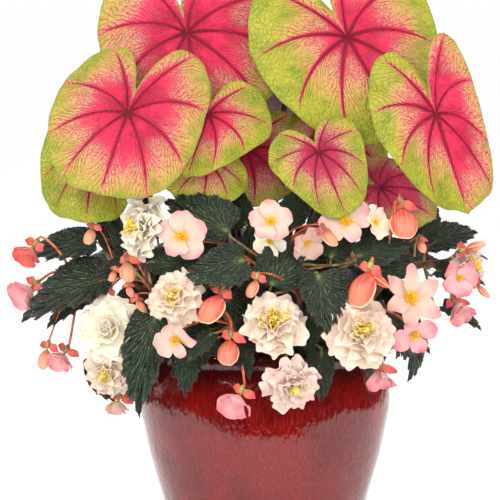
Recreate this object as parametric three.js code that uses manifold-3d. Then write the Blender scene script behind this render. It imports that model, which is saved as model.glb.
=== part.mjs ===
// A mixed planting in a glazed pot: a caladium with big heart-shaped leaves stands over a
// begonia whose leafy stems lean out over the rim with double and single blooms and buds.
// Millimetres, Z up. The origin is the centre of the pot's base and the front faces -Y.

import * as THREE from 'three';
import { mergeVertices } from 'three/addons/utils/BufferGeometryUtils.js';
import Module from 'manifold-3d';

const wasm = await Module();
wasm.setup();

// ---------------------------------------------------------------- driving dimensions

const CLEARANCE = 0.35;         // air between two pieces that touch
const WELD = 1e-4;              // corners nearer than this are one corner
const SIMPLIFY = 0.05;          // ridges lower than this are flattened after a join

const POT_SIDES = 26;
const FLOOR_TOP = 13;           // the pot's floor is this thick
const SOIL_TOP = 232;           // where the soil meets the wall
const SOIL_CROWN = 7;           // how much higher the soil is in the middle
const STEM_FOOT = 206;          // the stems end this high, inside the soil
const DRAIN = { radius: 6, away: 35, count: 3, sides: 10 };

// The wall of the pot, radius and height, from the foot up and then down the inside.
const POT_OUTSIDE = [
  [78, 0], [83, 8], [107, 92], [122, 144], [131.5, 196], [129.5, 222],
  [124.5, 242], [126.5, 247], [126.5, 254], [122.5, 258],
];
const POT_INSIDE = [[116, 258], [113.5, 250], [121, 205], [71, FLOOR_TOP]];

// Blades and petals: thicknesses and the radii of rods are in millimetres, and the other values
// are shares of the blade's or petal's own length.
const CALADIUM = {
  thickness: 1.2, petiole: 2.7, sides: 5, bends: 5,
  inner: 0.5,                   // the ring half way out to the edge
  droop: 0.16, lobeDroop: 0.1,  // how far the tip and the sides, and the lobes, hang down
  wave: 0.03, waves: 4,         // the wavy edge
  neck: 26, neckDrop: 5,        // where the petiole turns under the blade, in millimetres
  out: 0.34, up: 0.55,          // where its middle is, from the soil to the neck
};
const BEGONIA = {
  thickness: 0.9, stem: 3.4, petiole: 1.2, stalk: 1.3, teeth: 4,
  fold: 0.12, droop: 0.16,      // how far the halves fold up and the tip hangs down
  broad: 1.12, slim: 0.88,      // the two halves are not alike
  joint: 0.2, neck: 9,          // where the petiole meets the blade, and how far under it turns
  stalkEnd: 16, stalkArch: 0.12, seedCase: 9,
};
const PETAL = { thickness: 0.8, heart: 0.5, shoulder: 0.9, side: 0.36, curl: 0.16 };
const STAMENS = { radius: 0.17, height: 0.19 };
const BUD_SIDES = 7;
const BUD_PROFILE = [[0, 0], [0.62, 0.16], [1, 0.5], [0.62, 0.86], [0, 1]];

const COLOURS = {
  glaze: 0x6b121d,
  soil: 0x33261d,
  caladium: 0xb9c24a,
  foliage: 0x27432f,
  white: 0xf6f1e6,
  cream: 0xf5e6c4,
  blush: 0xf6d3c6,
  pink: 0xf3a9a4,
  coral: 0xea6f57,
  stamen: 0xf0c02c,
};

// ---------------------------------------------------------------- where the leaves are

// Each caladium leaf: where its petiole stands in the soil, where it meets the blade, the
// blade's tip, which way the upper side faces, how wide the left and the right half are for
// the length, and how long the left and the right lobe are for a usual leaf's.
const CALADIUM_LEAVES = {
  a: {
    foot: [-12, -2], hub: [-81, -10, 582], tip: [-56, -50, 483],
    face: [0, -0.9, 0.4], wide: [0.84, 1.04], lobe: [1, 1],
  },
  b: {
    foot: [-33, -19], hub: [-140, -85, 502], tip: [-170, -135, 421],
    face: [-0.1, -0.9, 0.5], wide: [0.8, 0.78], lobe: [0.94, 1.14],
  },
  c: {
    foot: [-38, -6], hub: [-174, -44, 463], tip: [-187, -84, 389],
    face: [-0.2, -0.9, 0.5], wide: [0.7, 0.56], lobe: [0.7, 0.7],
  },
  d: {
    foot: [-17, -20], hub: [-59, -70, 500], tip: [-79, -108, 441],
    face: [0.1, -0.9, 0.5], wide: [0.72, 0.92], lobe: [0.86, 0.86],
  },
  e: {
    foot: [-26, -34], hub: [-62, -52, 452], tip: [-94, -86, 420],
    face: [0.1, -0.85, 0.5], wide: [0.8, 0.9], lobe: [0.6, 0.6],
  },
  f: {
    foot: [-4, -28], hub: [-21, 0, 461], tip: [-43, -26, 405],
    face: [0.2, -0.9, 0.3], wide: [0.56, 1.1], lobe: [1.1, 1.1],
  },
  g: {
    foot: [12, -36], hub: [54, -96, 463], tip: [83, -132, 401],
    face: [0, -0.9, 0.5], wide: [0.66, 0.62], lobe: [0.56, 0.56],
  },
  h: {
    foot: [9, -6], hub: [85, -35, 578], tip: [143, -75, 479],
    face: [0, -0.9, 0.45], wide: [0.8, 0.78], lobe: [0.95, 0.95],
  },
  i: {
    foot: [31, -13], hub: [173, -94, 501], tip: [202, -130, 404],
    face: [-0.2, -0.9, 0.3], wide: [0.6, 0.42], lobe: [0.84, 0.95],
  },
  j: {
    foot: [36, -30], hub: [118, -72, 425], tip: [176, -88, 400],
    face: [0, -0.75, 0.65], wide: [0.6, 0.66], lobe: [0.6, 0.6],
  },
  l: {
    foot: [21, -18], hub: [78, 8, 472], tip: [108, -28, 422],
    face: [0, -0.9, 0.4], wide: [0.68, 0.7], lobe: [1, 1],
  },
  k: {
    foot: [5, 14], hub: [20, 50, 532], tip: [24, 126, 484],
    face: [0, 0.6, 0.8], wide: [0.75, 0.75], lobe: [0.7, 0.7],
  },
  m: {
    foot: [-21, 15], hub: [-104, 74, 522], tip: [-160, 128, 446],
    face: [-0.5, 0.6, 0.6], wide: [0.76, 0.78], lobe: [0.9, 0.9],
  },
  n: {
    foot: [24, 16], hub: [112, 78, 540], tip: [160, 136, 452],
    face: [0.5, 0.6, 0.6], wide: [0.78, 0.76], lobe: [0.9, 0.9],
  },
};

// Half of a heart-shaped blade as seen from the petiole: degrees from the tip, share of the length.
const HEART = [
  [0, 1], [10, 0.94], [32, 0.96], [58, 1], [85, 1], [110, 1],
  [132, 0.97], [150, 0.93], [162, 0.84], [171, 0.58], [180, 0.22],
];

// Each leafy stem: its route, its leaves (where the petiole leaves the stem, hub, tip, and how
// wide the blade is for its length), and its flower stalks (where each leaves the stem, and
// the bloom or bud that it ends in).
const LEAFY_STEMS = {
  left: {
    route: [
      [-74, -18], [-76, -20, 240], [-104, -30, 292], [-146, -40, 330], [-188, -44, 338],
      [-216, -30, 332],
    ],
    leaves: [
      { at: 0.7, hub: [-166, -58, 330], tip: [-252, -70, 298], wide: 1.3 },
      { at: 0.72, hub: [-176, -30, 366], tip: [-252, -12, 360], wide: 1 },
      { at: 0.75, hub: [-184, -40, 308], tip: [-228, -48, 284], wide: 1.1 },
      { at: 0.6, hub: [-154, -44, 362], tip: [-172, -50, 398], wide: 1.2 },
      { at: 0.6, hub: [-142, 0, 350], tip: [-206, 24, 340], wide: 1.2 },
    ],
    stalks: [
      { at: 0.97, to: 'bloom_l' }, { at: 0.92, to: 'bloom_m' }, { at: 0.85, to: 'bloom_k' },
      { at: 0.45, to: 'bloom_j' },
    ],
  },
  front_left: {
    route: [[-52, -52], [-54, -54, 240], [-84, -82, 290], [-106, -94, 312], [-122, -92, 336], [-122, -86, 360]],
    leaves: [
      { at: 0.5, hub: [-110, -112, 300], tip: [-134, -132, 202], wide: 0.9 },
      { at: 0.8, hub: [-116, -104, 352], tip: [-70, -124, 344], wide: 1.2 },
      { at: 0.8, hub: [-140, -78, 344], tip: [-180, -88, 334], wide: 1.2 },
    ],
    stalks: [
      { at: 0.6, to: 'rose_a' }, { at: 0.45, to: 'rose_b' }, { at: 0.97, to: 'rose_c' },
      { at: 0.6, to: 'rose_d' },
    ],
  },
  front: {
    route: [[-18, -66], [-18, -68, 240], [-30, -108, 284], [-42, -126, 302], [-42, -128, 326]],
    leaves: [
      { at: 0.6, hub: [-72, -128, 268], tip: [-83, -138, 220], wide: 1.1 },
      { at: 0.7, hub: [-54, -146, 284], tip: [-80, -154, 258], wide: 1 },
      { at: 0.6, hub: [-24, -140, 280], tip: [-16, -152, 240], wide: 1 },
      { at: 0.97, hub: [-22, -128, 356], tip: [-82, -142, 342], wide: 1.5 },
    ],
    stalks: [
      { at: 0.7, to: 'bloom_c' }, { at: 0.75, to: 'bloom_d' }, { at: 0.95, to: 'bud_c' },
      { at: 0.85, to: 'bud_d' },
    ],
  },
  middle: {
    route: [[20, -66], [20, -68, 240], [28, -106, 284], [34, -122, 308], [30, -122, 334]],
    leaves: [
      { at: 0.95, hub: [6, -128, 330], tip: [22, -108, 382], wide: 1.7 },
      { at: 0.9, hub: [52, -136, 342], tip: [62, -168, 290], wide: 1.5 },
      { at: 0.6, hub: [56, -136, 264], tip: [57, -148, 216], wide: 1.1 },
      { at: 0.7, hub: [46, -134, 304], tip: [42, -144, 262], wide: 1 },
    ],
    stalks: [{ at: 0.8, to: 'rose_e' }, { at: 0.6, to: 'rose_g' }],
  },
  front_right: {
    route: [[52, -52], [54, -54, 240], [84, -84, 292], [106, -98, 312], [122, -102, 332]],
    leaves: [
      { at: 0.97, hub: [114, -112, 342], tip: [156, -96, 358], wide: 1.2 },
      { at: 0.7, hub: [126, -88, 290], tip: [170, -92, 262], wide: 1.2 },
      { at: 0.6, hub: [76, -116, 316], tip: [78, -138, 270], wide: 1.1 },
    ],
    stalks: [
      { at: 0.65, to: 'rose_f' }, { at: 0.97, to: 'bloom_b' }, { at: 0.75, to: 'bloom_g' },
      { at: 0.55, to: 'bloom_h' }, { at: 0.85, to: 'bud_a' }, { at: 0.97, to: 'bud_e' },
    ],
  },
  right: {
    route: [[76, -12], [78, -14, 240], [110, -24, 296], [148, -34, 336], [184, -38, 346], [206, -30, 348]],
    leaves: [
      { at: 0.75, hub: [160, -52, 372], tip: [178, -32, 410], wide: 1.1 },
      { at: 0.8, hub: [172, -46, 366], tip: [222, -28, 380], wide: 1.1 },
      { at: 0.9, hub: [204, -12, 356], tip: [234, -6, 350], wide: 0.9 },
      { at: 0.8, hub: [184, -44, 300], tip: [224, -54, 282], wide: 1 },
      { at: 0.6, hub: [146, 4, 356], tip: [206, 24, 366], wide: 1.2 },
    ],
    stalks: [{ at: 0.97, to: 'rose_h' }, { at: 0.85, to: 'bloom_i' }],
  },
  crown: {
    route: [[-8, -48], [-8, -50, 240], [-8, -76, 310], [-2, -90, 346], [4, -92, 368]],
    leaves: [
      { at: 0.9, hub: [-38, -102, 382], tip: [-102, -86, 416], wide: 1.3 },
      { at: 0.9, hub: [66, -108, 356], tip: [92, -90, 396], wide: 1.3 },
      { at: 0.8, hub: [92, -112, 358], tip: [150, -98, 374], wide: 1.1 },
    ],
    stalks: [{ at: 0.97, to: 'bloom_e' }, { at: 0.9, to: 'bloom_f' }, { at: 0.85, to: 'bloom_a' }],
  },
  back_left: {
    route: [[-50, 55], [-52, 57, 240], [-80, 92, 296], [-110, 116, 322], [-138, 124, 328]],
    leaves: [
      { at: 0.8, hub: [-92, 120, 344], tip: [-122, 172, 334], wide: 1.3 },
      { at: 0.95, hub: [-138, 92, 342], tip: [-202, 112, 322], wide: 1.2 },
      { at: 0.9, hub: [-158, 58, 330], tip: [-224, 56, 306], wide: 1.2 },
      { at: 0.6, hub: [-58, 126, 330], tip: [-62, 188, 300], wide: 1.3 },
      { at: 0.7, hub: [-118, 122, 288], tip: [-148, 142, 226], wide: 1.1 },
      { at: 0.6, hub: [-34, 100, 352], tip: [-46, 162, 372], wide: 1.3 },
    ],
    stalks: [{ at: 0.8, to: 'rose_i' }, { at: 0.97, to: 'bloom_n' }],
  },
  back_right: {
    route: [[50, 55], [52, 57, 240], [84, 90, 298], [110, 116, 326], [130, 126, 334]],
    leaves: [
      { at: 0.85, hub: [92, 116, 350], tip: [128, 168, 342], wide: 1.3 },
      { at: 0.95, hub: [140, 84, 344], tip: [206, 92, 328], wide: 1.2 },
      { at: 0.6, hub: [58, 128, 322], tip: [56, 192, 294], wide: 1.3 },
      { at: 0.55, hub: [18, 106, 340], tip: [6, 174, 350], wide: 1.2 },
      { at: 0.7, hub: [110, 126, 288], tip: [136, 150, 224], wide: 1.1 },
      { at: 0.9, hub: [156, 46, 340], tip: [218, 52, 332], wide: 1.1 },
    ],
    stalks: [{ at: 0.8, to: 'rose_j' }, { at: 0.6, to: 'bloom_o' }],
  },
};

// Each bloom: its middle, the way it faces, its radius and its colour. A rose is a double bloom
// with petals in layers, the others are single, with four or five petals.
const ROSES = {
  rose_a: { at: [-157, -88, 281], face: [-0.35, -0.9, 0.2], radius: 36, colour: 'white' },
  rose_b: { at: [-160, -82, 237], face: [-0.2, -0.85, -0.5], radius: 27, colour: 'cream' },
  rose_c: { at: [-122, -90, 384], face: [-0.75, -0.6, 0.2], radius: 34, colour: 'cream' },
  rose_d: { at: [-90, -134, 318], face: [-0.3, -0.9, 0.25], radius: 30, colour: 'cream' },
  rose_e: { at: [8, -152, 292], face: [0, -0.85, 0.5], radius: 37, colour: 'cream' },
  rose_f: { at: [94, -144, 284], face: [0.25, -0.9, 0.25], radius: 37, colour: 'cream' },
  rose_g: { at: [24, -162, 236], face: [0.35, -0.75, -0.55], radius: 30, colour: 'blush' },
  rose_h: { at: [208, -50, 342], face: [0.8, -0.55, 0.2], radius: 24, colour: 'blush' },
  rose_i: { at: [-100, 158, 300], face: [-0.4, 0.9, 0.2], radius: 34, colour: 'white' },
  rose_j: { at: [98, 156, 306], face: [0.35, 0.9, 0.3], radius: 35, colour: 'cream' },
};

const SINGLES = {
  bloom_a: {
    at: [-84, -112, 378], face: [-0.05, -0.95, 0.3], radius: 27,
    colour: 'blush', petals: 5, stamens: true,
  },
  bloom_b: {
    at: [146, -118, 316], face: [0.3, -0.9, 0.3], radius: 32,
    colour: 'blush', petals: 4, stamens: true,
  },
  bloom_c: {
    at: [-90, -150, 279], face: [-0.2, -0.85, -0.45], radius: 23,
    colour: 'blush', petals: 4, stamens: true,
  },
  bloom_d: {
    at: [-26, -164, 224], face: [-0.1, -0.45, -0.9], radius: 21,
    colour: 'pink', petals: 4,
  },
  bloom_e: {
    at: [5, -127, 394], face: [0, -0.9, 0.45], radius: 23,
    colour: 'blush', petals: 5, stamens: true,
  },
  bloom_f: {
    at: [82, -98, 400], face: [0.2, -0.9, 0.35], radius: 28,
    colour: 'blush', petals: 4, stamens: true,
  },
  bloom_g: {
    at: [150, -114, 280], face: [0.2, -0.8, -0.5], radius: 25,
    colour: 'pink', petals: 4, stamens: true,
  },
  bloom_h: {
    at: [116, -132, 244], face: [0.1, -0.6, -0.8], radius: 22,
    colour: 'pink', petals: 4,
  },
  bloom_i: {
    at: [196, -70, 306], face: [0.35, -0.6, -0.7], radius: 24,
    colour: 'pink', petals: 5,
  },
  bloom_j: {
    at: [-151, -76, 206], face: [-0.2, -0.4, -0.9], radius: 17,
    colour: 'blush', petals: 4,
  },
  bloom_k: {
    at: [-208, -54, 252], face: [-0.3, -0.7, -0.6], radius: 21,
    colour: 'pink', petals: 4,
  },
  bloom_l: {
    at: [-244, -22, 318], face: [-0.75, -0.4, -0.5], radius: 21,
    colour: 'pink', petals: 4,
  },
  bloom_m: {
    at: [-242, -34, 360], face: [-0.6, -0.3, -0.7], radius: 17,
    colour: 'coral', petals: 4,
  },
  bloom_n: {
    at: [-174, 122, 300], face: [-0.6, 0.6, -0.5], radius: 23,
    colour: 'pink', petals: 5,
  },
  bloom_o: {
    at: [10, 166, 268], face: [0, 0.85, -0.4], radius: 24,
    colour: 'blush', petals: 5,
  },
};

// Each bud: where its stalk meets it, and for each of its closed petals the way it points, its
// length, its half width and how flat it is.
const BUDS = {
  bud_a: {
    at: [102, -153, 346],
    petals: [
      { face: [-0.3, -0.3, -0.9], length: 38, radius: 15, flat: 0.6 },
      { face: [0.75, 0.1, -0.55], length: 27, radius: 9, flat: 0.6 },
    ],
  },
  bud_c: { at: [-54, -142, 320], petals: [{ face: [-0.05, -0.45, -0.9], length: 36, radius: 17, flat: 0.6 }] },
  bud_d: { at: [-36, -152, 278], petals: [{ face: [-0.1, -0.25, -0.95], length: 26, radius: 10, flat: 0.7 }] },
  bud_e: { at: [138, -100, 406], petals: [{ face: [0.1, -0.3, -0.95], length: 32, radius: 13, flat: 0.7 }] },
};

// ---------------------------------------------------------------- small helpers

const UP = new THREE.Vector3(0, 0, 1);

function point(values) {
  return new THREE.Vector3(...values);
}

// The given direction, squared up against another one.
function squareTo(direction, axis) {
  return direction.clone().addScaledVector(axis, -direction.dot(axis)).normalize();
}

// A closed geometry as a solid, its faces turned outwards.
function solidFrom(geometry) {
  const bare = geometry.index ? geometry.clone() : geometry;
  bare.deleteAttribute('normal');
  bare.deleteAttribute('uv');
  const welded = mergeVertices(bare, WELD);
  const vertProperties = new Float32Array(welded.getAttribute('position').array);
  const triVerts = new Uint32Array(welded.index.array);
  const solid = new wasm.Manifold(new wasm.Mesh({ numProp: 3, vertProperties, triVerts }));
  if (solid.volume() > 0) return solid;
  for (let i = 0; i < triVerts.length; i += 3) {
    [triVerts[i], triVerts[i + 1]] = [triVerts[i + 1], triVerts[i]];
  }
  return new wasm.Manifold(new wasm.Mesh({ numProp: 3, vertProperties, triVerts }));
}

function solidFromPoints(points, triangles) {
  const geometry = new THREE.BufferGeometry();
  geometry.setFromPoints(points);
  geometry.setIndex(triangles.flat());
  return solidFrom(geometry);
}

function geometryOf(solid) {
  const mesh = solid.getMesh();
  const geometry = new THREE.BufferGeometry();
  geometry.setAttribute('position', new THREE.BufferAttribute(mesh.vertProperties, 3));
  geometry.setIndex(new THREE.BufferAttribute(mesh.triVerts, 1));
  geometry.computeVertexNormals();
  return geometry;
}

function joined(solids) {
  return wasm.Manifold.union(solids);
}

// The biggest piece of a solid: its scraps are dropped and its sealed hollows are filled.
function mainBody(solid) {
  const bodies = solid.decompose();
  return bodies.reduce((best, body) => (body.volume() > best.volume() ? body : best));
}

function boxesMeet(one, other) {
  const a = one.boundingBox();
  const b = other.boundingBox();
  return [0, 1, 2].every((axis) => a.min[axis] < b.max[axis] && b.min[axis] < a.max[axis]);
}

// ---------------------------------------------------------------- blades and tubes

// A thin blade from its middle surface. The rim is its outline, counter-clockwise seen from
// above. Both faces are split into triangles alike. "grow" makes it that much bigger all round.
function blade({ points, faces, rim }, thickness, grow) {
  const normals = points.map(() => new THREE.Vector3());
  for (const [a, b, c] of faces) {
    const normal = points[b].clone().sub(points[a]).cross(points[c].clone().sub(points[a]));
    for (const corner of [a, b, c]) normals[corner].add(normal);
  }
  normals.forEach((normal) => normal.normalize());
  const spread = points.map((p) => p.clone());
  rim.forEach((corner, i) => {
    const before = points[rim.at(i - 1)];
    const after = points[rim[(i + 1) % rim.length]];
    const outward = after.clone().sub(before).cross(normals[corner]).normalize();
    spread[corner].addScaledVector(outward, grow);
  });
  const half = thickness / 2 + grow;
  const upper = spread.map((p, i) => p.clone().addScaledVector(normals[i], half));
  const lower = spread.map((p, i) => p.clone().addScaledVector(normals[i], -half));
  const under = points.length;
  const triangles = [];
  for (const [a, b, c] of faces) {
    triangles.push([a, b, c], [under + a, under + c, under + b]);
  }
  rim.forEach((a, i) => {
    const b = rim[(i + 1) % rim.length];
    triangles.push([a, under + a, under + b], [a, under + b, b]);
  });
  return solidFromPoints([...upper, ...lower], triangles);
}

// A surface that fans out from its middle, first to an inner ring and then to an outer one
// that has twice as many corners.
function fan(middle, inner, outer) {
  const faces = [];
  const corner = (i) => 1 + (i % inner.length);
  const edge = (i) => 1 + inner.length + (i % outer.length);
  for (let i = 0; i < inner.length; i += 1) {
    faces.push([0, corner(i), corner(i + 1)]);
    faces.push([corner(i), edge(2 * i), edge(2 * i + 1)]);
    faces.push([corner(i), edge(2 * i + 1), corner(i + 1)]);
    faces.push([corner(i + 1), edge(2 * i + 1), edge(2 * i + 2)]);
  }
  return { points: [middle, ...inner, ...outer], faces, rim: outer.map((_, i) => edge(i)) };
}

// A round rod along a smooth route.
function rod(route, radius, sides, steps, grow) {
  const points = route.map((p) => p.clone());
  const start = points[0].clone().sub(points[1]).normalize();
  const end = points.at(-1).clone().sub(points.at(-2)).normalize();
  points[0].addScaledVector(start, grow);
  points.at(-1).addScaledVector(end, grow);
  const corners = [];
  for (let i = 0; i < sides; i += 1) {
    const turn = (2 * Math.PI * i) / sides;
    corners.push(new THREE.Vector2(Math.cos(turn), Math.sin(turn)).multiplyScalar(radius + grow));
  }
  const extrudePath = new THREE.CatmullRomCurve3(points);
  return solidFrom(new THREE.ExtrudeGeometry(new THREE.Shape(corners), { steps, extrudePath }));
}

// ---------------------------------------------------------------- pot and soil

function lathe(profile) {
  const points = profile.map(([radius, height]) => new THREE.Vector2(radius, height));
  const geometry = new THREE.LatheGeometry(points, POT_SIDES);
  geometry.rotateX(Math.PI / 2);
  return solidFrom(geometry);
}

function makePot() {
  let pot = lathe([[0, 0], ...POT_OUTSIDE, ...POT_INSIDE, [0, FLOOR_TOP]]);
  for (let i = 0; i < DRAIN.count; i += 1) {
    const turn = (2 * Math.PI * i) / DRAIN.count;
    const drill = new THREE.CylinderGeometry(DRAIN.radius, DRAIN.radius, 4 * FLOOR_TOP, DRAIN.sides);
    drill.rotateX(Math.PI / 2);
    drill.translate(DRAIN.away * Math.cos(turn), DRAIN.away * Math.sin(turn), 0);
    pot = pot.subtract(solidFrom(drill));
  }
  return pot;
}

// The soil fills the pot and stays clear of its wall. Every stem stands in a plain hole.
function makeSoil(stems) {
  const wall = POT_INSIDE.filter(([, height]) => height < SOIL_TOP).reverse();
  const [upper, lower] = [POT_INSIDE[1], POT_INSIDE[2]];
  const share = (SOIL_TOP - lower[1]) / (upper[1] - lower[1]);
  const edge = lower[0] + share * (upper[0] - lower[0]);
  const outline = [...wall, [edge, SOIL_TOP]].map(([radius, height]) => [radius - 1.2 * CLEARANCE, height]);
  outline[0][1] += CLEARANCE;
  const profile = [
    [0, FLOOR_TOP + CLEARANCE], ...outline,
    [0.6 * edge, SOIL_TOP + 0.6 * SOIL_CROWN], [0, SOIL_TOP + SOIL_CROWN],
  ];
  return lathe(profile).subtract(joined(stems));
}

// ---------------------------------------------------------------- caladium

// The height of a caladium blade over its flat plane, for a point given as shares of the length.
function caladiumRise(along, across, turn, share, phase) {
  const sides = -CALADIUM.droop * across * across;
  const ends = -(along > 0 ? CALADIUM.droop : CALADIUM.lobeDroop) * along * along;
  const wave = CALADIUM.wave * share * share * Math.sin(CALADIUM.waves * turn + phase);
  return sides + ends + wave;
}

// Directions of a blade: along it, across it and up out of it.
function bladeFrame(hub, tip, face) {
  const along = tip.clone().sub(hub);
  const length = along.length();
  along.normalize();
  const up = squareTo(face, along);
  return { length, along, up, across: up.clone().cross(along) };
}

function caladiumBlade(leaf, phase, grow) {
  const hub = point(leaf.hub);
  const frame = bladeFrame(hub, point(leaf.tip), point(leaf.face));
  const [leftLobe, rightLobe] = leaf.lobe;
  const sides = HEART.slice(1, -1);
  const right = sides.map(([degrees, share]) => [degrees, share, leaf.wide[1], rightLobe]);
  const left = sides.map(([degrees, share]) => [-degrees, share, leaf.wide[0], leftLobe]).reverse();
  const slit = [...HEART.at(-1), 1, (leftLobe + rightLobe) / 2];
  const spokes = [[...HEART[0], 1, 1], ...right, slit, ...left];
  const place = ([degrees, reach, wide, lobe], ring) => {
    const turn = THREE.MathUtils.degToRad(degrees);
    const narrow = wide ** Math.abs(Math.sin(turn));
    const share = ring * reach;
    const along = share * Math.cos(turn) * (Math.cos(turn) < 0 ? lobe : 1);
    const across = share * narrow * Math.sin(turn);
    const rise = caladiumRise(along, across, turn, ring, phase);
    return hub.clone()
      .addScaledVector(frame.along, along * frame.length)
      .addScaledVector(frame.across, across * frame.length)
      .addScaledVector(frame.up, rise * frame.length);
  };
  const inner = spokes.filter((_, i) => i % 2 === 0).map((spoke) => place(spoke, CALADIUM.inner));
  const outer = spokes.map((spoke) => place(spoke, 1));
  const surface = fan(hub, inner, outer);
  return { solid: blade(surface, CALADIUM.thickness, grow), hub, frame };
}

// A petiole rises out of the soil, arches out and meets its blade from below.
function caladiumLeaf(leaf, phase, grow) {
  const { solid, hub, frame } = caladiumBlade(leaf, phase, grow);
  const [x, y] = leaf.foot;
  const foot = new THREE.Vector3(x, y, STEM_FOOT);
  const ground = new THREE.Vector3(x, y, SOIL_TOP + SOIL_CROWN);
  const under = hub.clone().addScaledVector(frame.up, -CALADIUM.neck).addScaledVector(UP, -CALADIUM.neckDrop);
  const middle = ground.clone().lerp(under, CALADIUM.out);
  middle.z = THREE.MathUtils.lerp(ground.z, under.z, CALADIUM.up);
  const route = [foot, ground, middle, under, hub];
  return solid.add(rod(route, CALADIUM.petiole, CALADIUM.sides, CALADIUM.bends, grow));
}

// ---------------------------------------------------------------- begonia leaves and stems

// Half width of a begonia blade at a share of its way from the base lobes to the tip.
function begoniaWidth(share) {
  return 1.32 * Math.sqrt(share) * (1 - share) ** 0.95;
}

// A lopsided pointed blade with a toothed edge. It folds up a little along the midrib and
// bends down towards the tip. One half is wider than the other.
function begoniaBlade(leaf, lean, grow) {
  const hub = point(leaf.hub);
  const face = point([hub.x, hub.y, 0]).normalize().multiplyScalar(0.8).addScaledVector(UP, 0.6);
  const frame = bladeFrame(hub, point(leaf.tip), face);
  const place = (along, across) => {
    const rise = BEGONIA.fold * Math.abs(across) - BEGONIA.droop * along * along;
    return hub.clone()
      .addScaledVector(frame.along, along * frame.length)
      .addScaledVector(frame.across, across * frame.length)
      .addScaledVector(frame.up, rise * frame.length);
  };
  const midrib = [0, 0.36, 0.7].map((along) => place(along, 0));
  const tip = place(1, 0);
  const edge = (side) => {
    const wide = 0.5 * leaf.wide * (side * lean > 0 ? BEGONIA.broad : BEGONIA.slim);
    const points = [];
    for (let tooth = 0; tooth < BEGONIA.teeth; tooth += 1) {
      const share = (tooth + 0.45) / (BEGONIA.teeth + 0.2);
      const notch = share + 0.5 / BEGONIA.teeth;
      points.push(place(1.1 * share - 0.1, side * wide * (begoniaWidth(share) + 0.1)));
      points.push(place(1.1 * notch - 0.12, side * wide * begoniaWidth(notch) * 0.88));
    }
    return points;
  };
  const right = edge(-1);
  const left = edge(1).reverse();
  const points = [...midrib, ...right, tip, ...left];
  const firstRight = midrib.length;
  const tipIndex = firstRight + right.length;
  const last = points.length - 1;
  const faces = [];
  // Each edge corner is joined to the piece of the midrib beside it.
  const rib = (i) => Math.min(midrib.length - 1, Math.floor((i * midrib.length) / right.length));
  for (let i = 0; i < right.length; i += 1) {
    const here = firstRight + i;
    const mirrored = last - i;
    if (i > 0 && rib(i) !== rib(i - 1)) {
      faces.push([rib(i - 1), here, rib(i)], [rib(i - 1), rib(i), mirrored]);
    }
    const afterLeft = i + 1 < right.length ? mirrored - 1 : tipIndex;
    faces.push([rib(i), here, here + 1], [rib(i), afterLeft, mirrored]);
  }
  const rim = [0];
  for (let i = firstRight; i <= last; i += 1) rim.push(i);
  return { solid: blade({ points, faces, rim }, BEGONIA.thickness, grow), hub, frame };
}

// The three-winged seed case behind a bloom, along the end of its stalk.
function seedCase(end, direction, size, grow) {
  const corners = [];
  for (let i = 0; i < 6; i += 1) {
    const reach = (i % 2 === 0 ? size : 0.3 * size) + grow;
    const turn = (Math.PI * i) / 3;
    corners.push(new THREE.Vector2(reach * Math.cos(turn), reach * Math.sin(turn)));
  }
  const geometry = new THREE.ExtrudeGeometry(new THREE.Shape(corners), {
    depth: size, steps: 1, bevelEnabled: false,
  });
  geometry.translate(0, 0, -size / 2);
  geometry.applyQuaternion(new THREE.Quaternion().setFromUnitVectors(UP, direction));
  geometry.translate(...end.clone().addScaledVector(direction, -0.9 * size));
  return solidFrom(geometry);
}

// A leafy stem: the stem, its leaves on their petioles, and its flower stalks.
function leafyStem(stem, grow) {
  const [foot, ...rest] = stem.route;
  const route = [point([...foot, STEM_FOOT]), ...rest.map(point)];
  const curve = new THREE.CatmullRomCurve3(route);
  const pieces = [rod(route, BEGONIA.stem, 5, 6, grow)];
  stem.leaves.forEach((leaf, i) => {
    const { solid, hub, frame } = begoniaBlade(leaf, i % 2 === 0 ? 1 : -1, grow);
    const start = curve.getPointAt(leaf.at);
    const end = hub.clone().addScaledVector(frame.along, BEGONIA.joint * frame.length);
    const under = end.clone().addScaledVector(frame.up, -BEGONIA.neck);
    pieces.push(solid, rod([start, under, end], BEGONIA.petiole, 3, 2, grow));
  });
  for (const stalk of stem.stalks) {
    const flower = ROSES[stalk.to] ?? SINGLES[stalk.to] ?? BUDS[stalk.to];
    const facing = point(flower.face ?? flower.petals[0].face).normalize();
    const end = point(flower.at);
    const behind = end.clone().addScaledVector(facing, -BEGONIA.stalkEnd);
    const start = curve.getPointAt(stalk.at);
    const arch = BEGONIA.stalkArch * start.distanceTo(behind);
    const rise = start.clone().lerp(behind, 0.5).addScaledVector(UP, arch);
    pieces.push(rod([start, rise, behind, end], BEGONIA.stalk, 3, 3, grow));
    if (stalk.to in SINGLES && !flower.stamens) pieces.push(seedCase(end, facing, BEGONIA.seedCase, grow));
  }
  return joined(pieces);
}

// ---------------------------------------------------------------- blooms and buds

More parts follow.
